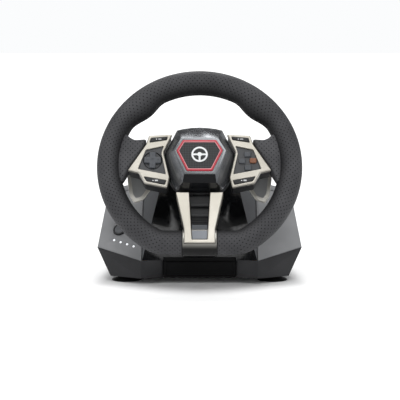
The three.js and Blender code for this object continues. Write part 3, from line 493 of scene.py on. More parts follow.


# leather-grained rubber of the grip: pebbles 1.3 mm across, and rows of pricked holes, which are about 1.4 mm
# wide every 4.6 mm, drawn a little coarser than life so that they show, and painted near black as painted
# shade inside them; the sleeve's inner side, which faces away from the light, gets painted shade from 24 mm
# round the tube on; its edges are sewn together along that side
def grippyLeather(name, colours, shadedSleeve):
    material, tree, shader = newMaterial(name, IOR=1.5, Specular_IOR_Level=0.12)
    tint, bump = addGrain(tree, shader, 3.0, colours, (0.5, 0.66), 0.02)
    place = addNode(tree, "TexCoord")
    pebbles = addNode(tree, "TexVoronoi", {"feature": "SMOOTH_F1"}, {"Scale": 1000 / 1.3, "Smoothness": 0.4},
                      {"Vector": (place, "Object")})
    grain = addNode(tree, "Bump", inputs={"Strength": 0.6, "Distance": 0.00012},
                    links={"Height": (pebbles, "Distance"), "Normal": (bump, "Normal")})
    along, slanted = slantedCells(tree, 4.6)
    dots = addNode(tree, "TexVoronoi", {"voronoi_dimensions": "2D"}, {"Scale": 1.0, "Randomness": 0.0},
                   {"Vector": (slanted, "Vector")})
    hole = addNode(tree, "MapRange", {"interpolation_type": "SMOOTHSTEP"},
                   {"From Min": 0.1, "From Max": 0.2, "To Min": 1.0, "To Max": 0.0},
                   {"Value": (dots, "Distance")})
    if not shadedSleeve:
        # a pad is pricked only where it faces along the shaft
        facing = addNode(tree, "VectorMath", {"operation": "DOT_PRODUCT"}, links={0: (place, "Normal")})
        facing.inputs[1].default_value = shaftOut.tolist()
        onFront = addNode(tree, "MapRange", inputs={"From Min": 0.75, "From Max": 0.85},
                          links={"Value": (facing, "Value")})
        hole = addNode(tree, "Math", {"operation": "MULTIPLY"},
                       links={0: (hole, "Result"), 1: (onFront, "Result")})
    # the pricks are painted near black: painted shade inside the holes, which the bump only dents
    pricks = (hole, 0)
    colour = darkened(tree, pricks, (tint, "Color"), "#060607")
    if shadedSleeve:
        # painted shade: the inner side of the sleeve, which faces away from the light, is darkened towards
        # near black
        acrossSleeve = addNode(tree, "SeparateXYZ", links={"Vector": (along, "UV")})
        fromFront = addNode(tree, "Math", {"operation": "ABSOLUTE"}, links={0: (acrossSleeve, "Y")})
        inner = addNode(tree, "MapRange", {"interpolation_type": "SMOOTHSTEP"},
                        {"From Min": 24.0, "From Max": 46.0, "To Min": 0.0, "To Max": 0.8},
                        {"Value": (fromFront, "Value")})
        colour = darkened(tree, (inner, "Result"), colour, "#0b0b0c")
    pits = addNode(tree, "Bump", {"invert": True}, {"Strength": 0.9, "Distance": 0.0005},
                   {"Height": pricks, "Normal": (grain, "Normal")})
    link(tree, shader, {"Base Color": colour, "Normal": (pits, "Normal")})
    return material


# woven carbon-look film of the badge: slanted 2.4 mm checks of two dark tones under a clear layer
def carbonFilm(name):
    material, tree, shader = newMaterial(name, IOR=1.5, Specular_IOR_Level=0.3, Coat_Weight=0.15,
                                         Coat_Roughness=0.2)
    slanted = slantedCells(tree, 2.4)[1]
    weave = addNode(tree, "TexChecker",
                    inputs={"Scale": 1.0, "Color1": linear("#0c0d0e"), "Color2": linear("#1f2124")},
                    links={"Vector": (slanted, "Vector")})
    gloss = addNode(tree, "MapRange", inputs={"To Min": 0.28, "To Max": 0.5}, links={"Value": (weave, "Fac")})
    bump = addNode(tree, "Bump", inputs={"Strength": 0.5, "Distance": 0.0001},
                   links={"Height": (weave, "Fac")})
    link(tree, shader, {"Base Color": (weave, "Color"), "Roughness": (gloss, "Result"),
                        "Normal": (bump, "Normal")})
    return material


# green solder-mask board: fields about 6 mm across with darker green between them
def laminateBoard(name):
    material, tree, shader = newMaterial(name, IOR=1.5, Roughness=0.35)
    place = addNode(tree, "TexCoord")
    cells = addNode(tree, "TexVoronoi", {"feature": "F1", "distance": "CHEBYCHEV"},
                    {"Scale": 1000 / 6.0, "Randomness": 0.8}, {"Vector": (place, "Object")})
    tracks = addNode(tree, "ValToRGB", links={"Fac": (cells, "Distance")})
    setRamp(tracks, ("#1f6b3f", "#144a2b"), (0.3, 0.42))
    link(tree, shader, {"Base Color": (tracks, "Color")})
    return material


finishes = {
    "leather": grippyLeather("leatherGrainRubberShadedInside", ("#3b3b3d", "#464648"), True),
    "padLeather": grippyLeather("leatherGrainRubber", ("#434345", "#4e4e50"), False),
    "champagne": satinPaint("satinChampagnePaint", ("#a09c92", "#b3afa6")),
    "gunmetal": satinPaint("gunmetalLacquer", ("#6b6d70", "#787a7d"), 0.75, (0.2, 0.28), 0.35),
    "silver": satinPaint("satinSilverPaint", ("#bdbab2", "#cecbc3"), 0.45, (0.3, 0.4)),
    "gloss": glossAbs("polishedBlackAbs", ("#0c0d0e", "#121315")),
    "black": texturedAbs("texturedBlackAbs", ("#141517", "#1b1c1e")),
    # black ABS made darker and duller still: painted shade of the front box, which sits under the rim
    "shadeBlack": texturedAbs("texturedBlackAbsPaintedShade", ("#060607", "#0a0a0b"), (0.5, 0.6), shine=0.08),
    "dark": texturedAbs("texturedDarkGreyAbs", ("#252527", "#2e2e30"), (0.4, 0.52), shine=0.2),
    "shell": texturedAbs("texturedSlateAbs", ("#515255", "#56585a"), (0.4, 0.52), shine=0.25),
    "field": texturedAbs("texturedCharcoalAbs", ("#38393b", "#434446"), (0.4, 0.52)),
    "cap": texturedAbs("satinGreyAbs", ("#3a3d41", "#45484d"), (0.3, 0.4), 0.6, 0.01),
    "grey": texturedAbs("texturedMidGreyAbs", ("#8c8d8e", "#989999")),
    "panel": texturedAbs("texturedLightGreyAbs", ("#77787a", "#828385"), (0.36, 0.46)),
    "tile": glossAbs("polishedBlueGreyAbs", ("#6c7076", "#7d8187"), (0.14, 0.22)),
    "orange": texturedAbs("satinOrangeBrownAbs", ("#70462f", "#7e5038"), (0.34, 0.44), 0.6, 0.01),
    "red": glossAbs("polishedRedAbs", ("#a01b2c", "#b52436"), (0.18, 0.26)),
    "pink": glossAbs("paleRedInk", ("#d98a90", "#e3a0a4"), (0.3, 0.4)),
    "white": texturedAbs("whiteInk", ("#d9dadb", "#e4e5e6"), (0.5, 0.6), 0.5, 0.003),
    "carbon": carbonFilm("carbonLookFilm"),
    "steel": bareMetal("turnedSteel", ("#9b9da1", "#adafb2")),
    "brass": bareMetal("cutBrass", ("#a98440", "#bd984f")),
    "board": laminateBoard("greenLaminateBoard"),
    "rubber": texturedAbs("mouldedRubber", ("#0f0f10", "#171718"), (0.55, 0.72), 1.4, 0.03),
}
lamp, lampTree, lampShader = newMaterial("opalLampDiffuser", IOR=1.49, Emission_Strength=0.5)
addGrain(lampTree, lampShader, 1.5, ("#e6e9ec", "#f3f5f6"), (0.3, 0.4), 0.004)
lampShader.inputs["Emission Color"].default_value = linear("#f3f6fa")
finishes["lamp"] = lamp
print("materials made:", len(finishes))

# camera, floor and light

view = {"place": (0.0, -1.74423, 0.32478), "tilt": 83.0, "lens": 111.96, "shiftX": 0.001}
cameraData = bpy.data.cameras.new("view")
cameraData.lens, cameraData.sensor_width, cameraData.shift_x = view["lens"], 36.0, view["shiftX"]
camera = bpy.data.objects.new("view", cameraData)
camera.location = view["place"]
camera.rotation_euler = (math.radians(view["tilt"]), 0, 0)
bpy.context.scene.collection.objects.link(camera)
bpy.context.scene.camera = camera

studio = {"skyLow": 1.0, "skyHigh": 0.28, "bandLow": 8.0, "bandHigh": 24.0, "floor": "#f4f4f4", "reach": 60.0,
          "suns": [
              # name, elevation and direction in degrees, angle across, strength
              ("overhead", 76.0, -90.0, 60.0, 2.3),
              ("leftWindow", 30.0, -150.0, 24.0, 0.35),
              ("rightWindow", 30.0, -30.0, 24.0, 0.25),
              ("topEdge", 52.0, 90.0, 26.0, 1.5),
          ]}
world = bpy.data.worlds.new("studio")
world.use_nodes = True
# white near the horizon, so that the floor runs into it without a line, and greyer overhead
skyTree = world.node_tree
skyPlace = addNode(skyTree, "TexCoord")
skyHeight = addNode(skyTree, "SeparateXYZ", links={"Vector": (skyPlace, "Generated")})
skyFade = addNode(skyTree, "MapRange", {"interpolation_type": "SMOOTHSTEP"},
                  {"From Min": math.sin(math.radians(studio["bandLow"])),
                   "From Max": math.sin(math.radians(studio["bandHigh"])),
                   "To Min": studio["skyLow"], "To Max": studio["skyHigh"]}, {"Value": (skyHeight, "Z")})
sky = skyTree.nodes["Background"]
sky.inputs["Color"].default_value = linear("#fbfcfd")
link(skyTree, sky, {"Strength": (skyFade, "Result")})
bpy.context.scene.world = world
bpy.context.scene.view_settings.view_transform = "Standard"
for name, elevation, direction, across, strength in studio["suns"]:
    data = bpy.data.lights.new(name, "SUN")
    data.energy, data.angle = strength, math.radians(across)
    light = bpy.data.objects.new(name, data)
    light.location = (0, 0, 2)
    light.rotation_euler = (math.radians(90 - elevation), 0, math.radians(direction + 90))
    bpy.context.scene.collection.objects.link(light)

floorMesh = bpy.data.meshes.new("floor")
reach = studio["reach"]
floorMesh.from_pydata([(-reach, -reach, 0), (reach, -reach, 0), (reach, reach, 0), (-reach, reach, 0)], [],
                      [(0, 1, 2, 3)])
floor = bpy.data.objects.new("floor", floorMesh)
bpy.context.scene.collection.objects.link(floor)
floorPaint, _, floorShader = newMaterial("paleFloorPaint", Roughness=0.95, Specular_IOR_Level=0.0)
floorShader.inputs["Base Color"].default_value = linear(studio["floor"])
floorMesh.materials.append(floorPaint)
print("camera, floor and lights placed")

# rim: the grip sleeve follows a circle with a flat bottom and two round corners

rim = {"radius": 124.0, "tube": 16.3, "flat": 111.5, "corner": 35.0, "opening": 23.1, "rows": 420,
       "sides": 56, "swell": 8.0, "swellAngle": 43.0, "swellHalf": 18.0, "topDepth": 2.0,
       "seamWidth": 1.3, "seamDepth": 0.8, "stitchPitch": 6.0, "endRound": 1.6}


# points along the rim's centre line at given distances from the clip, and the way it heads there:
# straight, then an arc of the corner, an arc of the circle, and the same again mirrored
def rimLine(s):
    cornerY = rim["corner"] - rim["flat"]
    cornerX = math.sqrt((rim["radius"] - rim["corner"]) ** 2 - cornerY ** 2)
    meet = math.atan2(cornerY, cornerX)
    straight = cornerX - rim["opening"]
    arc = rim["corner"] * (meet + math.pi / 2)
    half = straight + arc + rim["radius"] * (math.pi / 2 - meet)
    side = np.where(s > half, -1.0, 1.0)
    t = np.where(s > half, 2 * half - s, s)
    bend = np.clip((t - straight) / rim["corner"], 0, meet + math.pi / 2) - math.pi / 2
    turn = meet + (t - straight - arc) / rim["radius"]
    onCircle, onLine = t > straight + arc, t < straight
    angle = np.where(onCircle, turn, bend)
    x = np.where(onLine, rim["opening"] + t, np.where(onCircle, rim["radius"] * np.cos(turn),
                                                      cornerX + rim["corner"] * np.cos(bend)))
    y = np.where(onLine, -rim["flat"], np.where(onCircle, rim["radius"] * np.sin(turn),
                                                cornerY + rim["corner"] * np.sin(bend)))
    outward = np.column_stack([side * np.cos(angle), np.sin(angle)])
    return np.column_stack([side * x, y]), outward, 2 * half


# pushes points towards the middle: a cosine hump round two angles, and a little along the top
def swollen(points):
    x, y = points[..., 0], points[..., 1]
    radius = np.hypot(x, y)
    fromTop = np.degrees(np.arctan2(np.abs(x), y))
    offset = np.minimum(1, np.abs(fromTop - rim["swellAngle"]) / rim["swellHalf"])
    bump = rim["swell"] * (1 + np.cos(np.pi * offset)) / 2
    bump += np.where(fromTop < rim["swellAngle"], rim["topDepth"] * offset, 0)
    inward = np.clip((rim["radius"] - radius) / rim["tube"], 0, 1)
    scale = (radius - bump * inward) / radius
    out = points.copy()
    out[..., 0] *= scale
    out[..., 1] *= scale
    return out


# point of the grip's skin: centre line + outward * r cos(a) + shaft direction * r sin(a), where r dips
# in a narrow seam along the inner side and falls off at both ends; s and a are arrays of one shape
def gripSkin(s, a, lift=0.0):
    shape, end = s.shape, rim["endRound"]
    s, a = s.ravel(), ((a + math.pi) % (2 * math.pi) - math.pi).ravel()
    centre, outward, length = rimLine(s)
    seam = np.exp(-((np.degrees(np.abs(a) - math.pi)) * rim["tube"] * math.pi / 180 / rim["seamWidth"]) ** 2)
    fromEnd = np.minimum(s, length - s)
    ends = end * (1 - np.sqrt(np.clip(1 - (1 - np.clip(fromEnd / end, 0, 1)) ** 2, 0, 1)))
    r = rim["tube"] + lift - rim["seamDepth"] * seam - ends
    x = centre[:, 0] + outward[:, 0] * r * np.cos(a)
    y = centre[:, 1] + outward[:, 1] * r * np.cos(a)
    return swollen(np.stack([x, y, r * np.sin(a)], axis=-1)).reshape(*shape, 3)


def gripSleeve():
    length = rimLine(np.zeros(1))[2]
    end = rim["endRound"]
    nearEnd = np.linspace(0, end, 6)[:-1]
    fine = np.concatenate([nearEnd, np.linspace(end, length - end, rim["rows"]), length - nearEnd[::-1]])
    near = np.array([-2.4, -1.6, -1.0, -0.5, 0, 0.5, 1.0, 1.6, 2.4]) / rim["tube"]
    a = np.concatenate([np.linspace(-math.pi + 0.2, math.pi - 0.2, rim["sides"]), math.pi + near])
    s, a = np.meshgrid(fine, a, indexing="ij")
    rings = gripSkin(s, a)
    mesh = bpy.data.meshes.new("rim_sleeve")
    points, faces = tube(rings)
    mesh.from_pydata(toWorld(points, wheel).tolist(), [], faces)
    # the UV map runs along the sleeve and round it, in mm
    uv = np.column_stack([s.ravel(), (a * rim["tube"]).ravel()])
    loops = uv[cornerVertices(mesh)]
    quads = 4 * (rings.shape[0] - 1) * rings.shape[1]
    last = loops[:quads].reshape(-1, 4, 2)
    wraps = (last[:, :, 1].max(axis=1) - last[:, :, 1].min(axis=1)) > 40
    lowSide = last[:, :, 1] < 0
    last[:, :, 1] += np.where(wraps[:, None] & lowSide, 2 * math.pi * rim["tube"], 0)
    mesh.uv_layers.new(name="flat").data.foreach_set("uv", loops.ravel())
    mesh.update()
    return mesh


sleeveMesh = gripSleeve()
finishObject("rim_sleeve", sleeveMesh, "leather", "wheel", ("rim_grip",), 50)


# stitches across the seam: each is a short bent bar, 3 mm long and 0.7 mm thick, whose rings follow
# the skin from one side of the seam to the other
def stitches():
    length = rimLine(np.zeros(1))[2]
    places = np.arange(6, length - 6, rim["stitchPitch"])
    t = np.linspace(-1, 1, 5)
    s = places[:, None] + 1.1 * t
    a = math.pi + 1.9 * t / rim["tube"] + 0 * s
    middle, high = gripSkin(s, a), gripSkin(s, a, 1.0)
    up = (high - middle) / np.linalg.norm(high - middle, axis=-1, keepdims=True)
    along = np.gradient(middle, axis=1)
    along /= np.linalg.norm(along, axis=-1, keepdims=True)
    across = np.cross(up, along)
    thick = np.array([0.15, 0.38, 0.42, 0.38, 0.15])[None, :, None, None]
    corner = around(5)
    hump = (0.25 + 0.25 * np.cos(t * math.pi / 2))[None, :, None] * up
    rings = (middle + hump)[:, :, None] + thick * (np.cos(corner)[:, None] * across[:, :, None]
                                                   + np.sin(corner)[:, None] * up[:, :, None])
    faces, points = [], rings.reshape(-1, 3)
    one = np.arange(25).reshape(5, 5)
    oneFaces = strip(one) + [one[0][::-1].tolist(), one[-1].tolist()]
    for start in range(0, len(points), 25):
        faces += [[v + start for v in face] for face in oneFaces]
    return points, faces


makePiece("rim_stitches", stitches(), wheel, "dark", "wheel")

# soft pads that carry the spokes into the rim, with a rolled edge
pads = {"back": -11.0, "front": 12.8, "roll": 4.2, "valley": 5.0, "valleyAt": 112.5, "valleyWidth": 5.5,
        "outline": [(-118, 50), (-106, 49), (-99.5, 42), (-95, 36.5), (-88.5, 33.0), (-71.9, 34.4),
                    (-75.2, 22.9), (-98.9, -14.8), (-102, -20), (-109, -31), (-112, -44), (-122, -36),
                    (-124, 10)]}
flatPad = sheet(rounded(pads["outline"], 5.0), edge(pads["back"], pads["front"], pads["roll"], 3.0, 7),
                fill=2.5)


# the front of a pad dips where it meets the rim: depth * exp(-((radius - place) / width) squared)
def valley(shape):
    points = shape[0].copy()
    radius = np.hypot(points[:, 0], points[:, 1])
    dip = pads["valley"] * np.exp(-((radius - pads["valleyAt"]) / pads["valleyWidth"]) ** 2)
    points[:, 2] -= np.where(points[:, 2] > 4, dip * np.clip((points[:, 2] - 4) / 6, 0, 1), 0)
    return points, shape[1]


for side, word in pairSides:
    padShape = onSide(valley(flatPad), side)
    makePiece(word + "_spoke_pad", padShape, wheel, "padLeather", "wheel")

# bright sleeve at the bottom of the rim, with a pocket for the lower spoke
clip = {"half": 22.8, "radius": 18.0, "pocketHalf": 20.9, "pocketLow": -118.3, "pocketFloor": 12.0,
        "bevel": 1.2, "shadeY": -118.0, "shadeZ": 18.0, "shadeBelow": 0.009, "shadeAbove": 0.007}


# rows of (y, z) rings along x: circle of the clip's radius, smaller at both ends; between the pocket's
# sides its height is held to the pocket's floor
def clipSleeve():
    nearEnd = clip["bevel"] * (1 - np.cos(np.linspace(0, math.pi / 2, 6)))
    half = np.concatenate([clip["half"] - nearEnd, [clip["pocketHalf"] + 0.3, clip["pocketHalf"] + 0.02]])
    x = np.concatenate([-half, [-clip["pocketHalf"], clip["pocketHalf"]], half[::-1]])
    fall = np.interp(np.abs(x), [clip["half"] - clip["bevel"], clip["half"]], [0, 1])
    r = clip["radius"] - clip["bevel"] * (1 - np.sqrt(1 - fall ** 2))
    notch = math.acos((clip["pocketLow"] + rim["flat"]) / clip["radius"])
    a = np.sort(np.concatenate([np.linspace(0, 2 * math.pi, 72, endpoint=False),
                                [notch - 0.004, notch + 0.004]]))
    x, a = np.meshgrid(x, a, indexing="ij")
    y = r[:, None] * np.cos(a) - rim["flat"]
    z = r[:, None] * np.sin(a)
    pocket = (np.abs(x) <= clip["pocketHalf"]) & (y > clip["pocketLow"]) & (z > clip["pocketFloor"])
    return tube(np.stack([x, y, np.where(pocket, clip["pocketFloor"], z)], axis=-1))


# the painted shade starts where the lower spoke ends
spokeEnd = toWorld([[0.0, clip["shadeY"], clip["shadeZ"]]], wheel)[0, 2]
finishes["clipShadedBelow"] = paintShadedBelow("satinChampagnePaintShadedBelow", ("#a3a19a", "#b5b3ad"), "#0b0b0b",
                                 spokeEnd - clip["shadeBelow"], spokeEnd + clip["shadeAbove"])
makePiece("rim_clip_sleeve", clipSleeve(), wheel, "clipShadedBelow", "wheel", ("rim_clip",))
print("rim made")

# lower spoke: a bright frame in the shape of a U round a ribbed slot

lower = {"top": -45.2, "narrow": -98.2, "bottom": -118.0, "halfTop": 31.9, "halfLow": 20.6, "front": 16.0,
         "rise": 0.05, "slotTop": 14.1, "slotLow": 10.3, "slotEnd": -113.0, "overRim": -93.2,
         "ribs": [(-61.0, 2.2, 9.0), (-76.0, 2.2, 9.5)], "meshTop": -78.6, "meshLow": -91.0}


def slotHalf(y):
    return np.interp(y, [lower["slotEnd"], lower["top"]], [lower["slotLow"], lower["slotTop"]])


# lifts the front of a shape by the rise for each mm below the top of the lower spoke
def leaned(shape, above=0.0):
    points = shape[0].copy()
    points[:, 2] += np.where(points[:, 2] > above, (lower["top"] - points[:, 1]) * lower["rise"], 0)
    return points, shape[1]


def lowerBars():
    # the slot runs out through the top edge, so the frame is one outline in the shape of a U
    right = [(slotHalf(y), y) for y in (lower["slotEnd"], -95.0, -70.0, lower["top"])]
    right += [(lower["halfTop"], lower["top"]), (lower["halfLow"], lower["narrow"]),
              (lower["halfLow"], lower["bottom"])]
    frameLine = np.vstack([right, np.array(right)[::-1] * [-1, 1]])
    shapes = [sheet(rounded(frameLine, 0.9, 3), edge(12.3, lower["front"], 1.1, 0.3, 5))]
    cut = lower["overRim"]
    at = np.interp(cut, [lower["narrow"], lower["top"]], [lower["halfLow"], lower["halfTop"]])
    for side in (-1, 1):
        points = [(side * slotHalf(lower["top"]), lower["top"]), (side * slotHalf(cut), cut),
                  (side * at, cut), (side * lower["halfTop"], lower["top"])]
        shapes.append(sheet(rounded(points, 0.5, 2), edge(-10.0, 12.6, 0.2, 1.2, 4)))
    floor = [(-slotHalf(lower["top"]) - 1, lower["top"] - 0.2), (-slotHalf(cut) - 1, cut),
             (slotHalf(cut) + 1, cut), (slotHalf(lower["top"]) + 1, lower["top"] - 0.2)]
    shapes.append(sheet(rounded(floor, 0.4, 2), edge(-10.0, -1.0, 0.2, 0.8, 3)))
    return leaned(joined(*shapes), 12.0)


makePiece("lower_spoke_bars", lowerBars(), wheel, "champagne", "wheel", ("lower_spoke_bezel",),
          30)


# floor, two bowed ribs, a mesh of crossed 0.9 mm bars 2.6 mm apart, and the block under the tile
def slotFiller():
    bottom = -rim["flat"] + clip["radius"] + 0.6
    play = 0.4
    floor = mirrored([(slotHalf(y) - play, y) for y in (-47.0, bottom)])
    shapes = [sheet(rounded(floor, 0.8), edge(-0.7, 4.0, 0.5, 0.2, 3))]
    for y, half, top in lower["ribs"]:
        reach = slotHalf(y - half) - play
        shapes.append(sheet(rounded(rectangle(-reach, reach, y - half, y + half), 0.8),
                            edge(3.0, top, 1.5, 0.2, 5)))
    rows = np.arange(lower["meshLow"] + 1.2, lower["meshTop"], 2.6)
    one = sheet(rounded(rectangle(-slotHalf(-85.0) + play, slotHalf(-85.0) - play, -0.45, 0.45), 0.1, 1),
                edge(6.2, 8.2, 0.3, 0.1, 2, 0.05))
    shapes.append(repeated(one, np.column_stack([0 * rows, rows, 0 * rows])))
    columns = np.arange(-9.1, 9.2, 2.6)
    middle = (lower["meshTop"] + lower["meshLow"]) / 2
    reach = (lower["meshTop"] - lower["meshLow"]) / 2
    one = sheet(rounded(rectangle(-0.45, 0.45, -reach, reach), 0.1, 1), edge(5.8, 7.9, 0.3, 0.1, 2, 0.05))
    shapes.append(repeated(one, np.column_stack([columns, 0 * columns + middle, 0 * columns])))
    half = slotHalf(-99.0) - play
    shapes.append(sheet(rounded(rectangle(-half, half, bottom, -91.5), 0.5), edge(3.0, 14.0, 0.3, 0.2, 3)))
    return joined(*shapes)


makePiece("lower_spoke_filler", slotFiller(), wheel, "black", "wheel", ("lower_spoke_grille",))
blockHalf = slotHalf(-99.0) - 0.4
spokeBlock = sheet(rounded(rectangle(-blockHalf, blockHalf, -99.0, -91.5), 0.6),
                   edge(12.6, 16.2, 0.7, 0.2, 4))
makePiece("lower_spoke_block", spokeBlock, wheel, "cap", "wheel")
tilePoints = mirrored([(slotHalf(-99.9) - 0.5, -99.9), (slotHalf(-112.4) - 0.5, -112.4)])
makePiece("spoke_tile", sheet(rounded(tilePoints, 1.2), edge(12.9, 17.8, 0.9, 0.3, 5)), wheel,
          "tile", "wheel", ("spoke_lens",))
# painted highlight: a thin bright strip along the top edge of the tile
tileEdgeHighlight = sheet(rounded(rectangle(-slotHalf(-99.0) + 0.4, slotHalf(-99.0) - 0.4, -99.75, -99.15), 0.1, 1),
                   edge(13.5, 17.0, 0.2, 0.1, 2, 0.05))
makePiece("spoke_tile_highlight_strip", tileEdgeHighlight, wheel, "champagne", "wheel")
print("lower spoke made")

# button pods: black tray, bright plate with three openings, and a dark panel in the window

pod = {"back": -10.0, "front": 12.4, "wall": 1.8, "inset": 0.6, "plateLow": 12.8, "plateTop": 18.5,
       "panelLow": 12.8, "panelTop": 16.5,
       "plate": [(-69, 36.2), (-37.2, 37.8), (-48.9, 11.1), (-40.4, -25.2), (-43.9, -39.7), (-74, -33),
                 (-82, -18.1), (-97, -14.5), (-73, 22.9)],
       "window": [(-72.7, 15.2), (-48.8, 20.6), (-52, 10), (-45.4, -20.6), (-83.2, -12.8)],
       "upperSlot": [(-68.1, 25.6), (-66.2, 32.3), (-43.4, 34.2), (-44.6, 29.4)],
       "lowerSlot": [(-75.2, -23.6), (-44.8, -29.2), (-46.8, -35.8), (-71.6, -30.4)]}
pod["plate"], pod["window"] = np.array(pod["plate"], float), np.array(pod["window"], float)
pod["upperSlot"], pod["lowerSlot"] = np.array(pod["upperSlot"], float), np.array(pod["lowerSlot"], float)


def podTray():
    outline = rounded(inset(pod["plate"], pod["inset"]), 2.0)
    rows = edge(pod["back"], pod["front"], 0.3, 2.2, 5)[:-1]
    w = pod["wall"]
    inner = np.array([(w - 0.2, pod["front"]), (w, pod["front"] - 0.2), (w, pod["back"] + 2.6)])
    return sheet(outline, np.vstack([rows, inner]))


def brightPlate():
    holes = [rounded(pod["window"], 1.6), rounded(pod["upperSlot"], 1.2), rounded(pod["lowerSlot"], 1.2)]
    steps = np.array([(0.4, pod["plateLow"]), (0.0, pod["plateLow"] + 0.4), (0.0, pod["plateTop"] - 1.5),
                      (0.25, pod["plateTop"] - 0.7), (1.1, pod["plateTop"] - 0.05), (1.35, pod["plateTop"]),
                      (1.6, pod["plateTop"])])
    inside = edge(pod["plateLow"], pod["plateTop"], 0.55, 0.2, 4, 0.15)
    return sheet(rounded(pod["plate"], 1.6), steps, holes, inside)


faceButtons = {"top": (65.0, 8.6), "left": (57.6, -1.2), "right": (72.4, -0.4), "bottom": (65.3, -10.9)}
faceCap = rectangle(-4.6, 4.6, -3.6, 3.6)
buttonLow, faceTop, barTop = 11.0, 18.6, 19.4
dpad = {"x": -63.6, "y": 0.1, "reach": 11.6, "arm": 4.3, "disc": 11.9, "hole": 12.8, "top": 19.4}


def panelInset(side):
    outline = rounded(inset(pod["window"], 0.2), 1.3)
    if side < 0:
        holes = [circle(dpad["hole"], dpad["x"], dpad["y"], 56)]
    else:
        outline = mirrorX(outline)
        holes = [rounded(inset(faceCap, -0.25) + place, 2.6) for place in faceButtons.values()]
    return sheet(outline, edge(pod["panelLow"], pod["panelTop"], 0.1, 0.1, 2, 0.02), holes)


for side, word in pairSides:
    makePiece(word + "_pod_tray", onSide(podTray(), side), wheel, "black", "wheel",
              (word + "_pod",))
    makePiece(word + "_bright_plate", onSide(brightPlate(), side), wheel, "champagne", "wheel",
              (word + "_plate",), 25)
    makePiece(word + "_button_field", panelInset(side), wheel, "field", "wheel",
              (word + "_button_panel",))


# a cap with rolled edges over its flange and stem
def buttonCap(outline, low, top, roll, stem=True, corner=1.5):
    crown = sheet(rounded(outline, corner), edge(low, top, roll, 0.2, 6, 0.2))
    flange = sheet(rounded(inset(outline, -0.6), corner), edge(low, low + 1.5, 0.1, 0.1, 2, 0.1))
    x, y = outline.mean(axis=0)
    shapes = [crown, flange]
    if stem:
        shapes.append(sheet(circle(1.8, x, y, 16), edge(7.0, low + 0.5, 0.1, 0.3, 2, 0.1)))
    return joined(*shapes)


for name, place in faceButtons.items():
    finish, slot = ("orange", "orange") if name == "right" else ("cap", "dark")
    shape = buttonCap(faceCap + place, buttonLow, faceTop, 1.0, corner=1.9)
    makePiece("face_cap_" + name, shape, wheel, finish, "face_" + name, ("face_button_" + name,))


# generic marks of the bar buttons: flat ink shapes 0.07 mm high
def inkMark(outlines, top):
    rows = np.array([(0.0, top - 0.05), (0.0, top + 0.06), (0.02, top + 0.07)])
    return joined(*[sheet(ccw(outline), rows) for outline in outlines])


def markAt(middle, kind):
    x, y = middle
    dot = circle(0.75, x - 3.0, y, 16)
    if kind == "one":
        return [dot, rectangle(x - 0.6, x + 3.6, y - 0.45, y + 0.45)]
    return [dot, rectangle(x - 0.6, x + 3.6, y + 0.25, y + 0.95),
            rectangle(x - 0.6, x + 3.6, y - 0.95, y - 0.25)]


for side, word in pairSides:
    for level, outline in (("upper", pod["upperSlot"]), ("lower", pod["lowerSlot"])):
        points = ccw(inset(outline, 0.4) if side < 0 else mirrorX(inset(outline, 0.4)))
        body = word + "_" + level
        makePiece(body + "_bar", buttonCap(points, buttonLow, barTop, 0.8, corner=1.0), wheel, "black",
                  body, (body + "_button",))
        middle = points.mean(axis=0)
        makePiece(body + "_mark", inkMark(markAt(middle, "one" if level == "upper" else "two"), barTop),
                  wheel, "white", body)


# direction pad: a cross with round-ended arms that dish towards the middle, on a disc
def directionCross():
    arm, reach = dpad["arm"], dpad["reach"]
    cross = np.vstack(quarterTurns([(arm, arm), (arm, reach), (-arm, reach)]))
    outline = rounded(cross, 1.4)
    arrows = [rounded(arrow, 0.3, 2) for arrow in quarterTurns([(-1.6, 6.6), (1.6, 6.6), (0.0, 9.0)])]
    arrows.append(circle(2.2, sides=28))
    body = sheet(outline, edge(15.2, dpad["top"], 1.2, 0.3, 6), arrows,
                 np.array([(0.0, 15.2), (0.0, dpad["top"] - 0.4), (-0.15, dpad["top"] - 0.05),
                           (-0.25, dpad["top"])]))
    floor = sheet(rounded(inset(cross, 0.8), 1.2), edge(15.0, dpad["top"] - 0.8, 0.2, 0.2, 2))
    return moved(joined(body, floor), dpad["x"], dpad["y"])


makePiece("direction_cross", directionCross(), wheel, "cap", "dpad_cross", ("dpad",))
padDisc = sheet(circle(dpad["disc"], dpad["x"], dpad["y"], 64), edge(13.0, 15.6, 0.7, 0.3, 4))
makePiece("direction_disc", padDisc, wheel, "field", "dpad_cross")
print("button pods made")

# hub: faceted lacquered cover, gloss chin, badge in a red hexagonal ring

badge = {"outline": mirrored([(22.5, 24.7), (31.3, 9.7), (17.1, -19.7)]), "low": 27.6, "ring": 30.3,
         "plate": 29.4}
softened("hub_cover_skin", "hub_cover", "gunmetal", "wheel", 1.3, 4, 15)
softened("hub_chin", "hub_lower_trim", "gloss", "wheel", 0.9, 3, 20)


def badgeLine(distance, cut):
    return rounded(inset(badge["outline"], distance), cut)


badgeRing = sheet(rounded(badge["outline"], 1.8), edge(badge["low"], badge["ring"], 0.6, 0.2, 4, 0.1),
                  [badgeLine(2.3, 1.2)])
innerLine = sheet(badgeLine(2.35, 1.2), edge(badge["low"], badge["ring"] - 0.25, 0.15, 0.1, 2, 0.05),
                  [badgeLine(3.1, 1.0)])
badgeFace = sheet(badgeLine(3.2, 1.0), edge(badge["low"], badge["plate"], 0.2, 0.2, 3))
makePiece("badge_frame", badgeRing, wheel, "red", "wheel", ("badge_ring",))
makePiece("badge_inner_line", innerLine, wheel, "pink", "wheel")
makePiece("badge_face", badgeFace, wheel, "carbon", "wheel", ("badge_plate",))


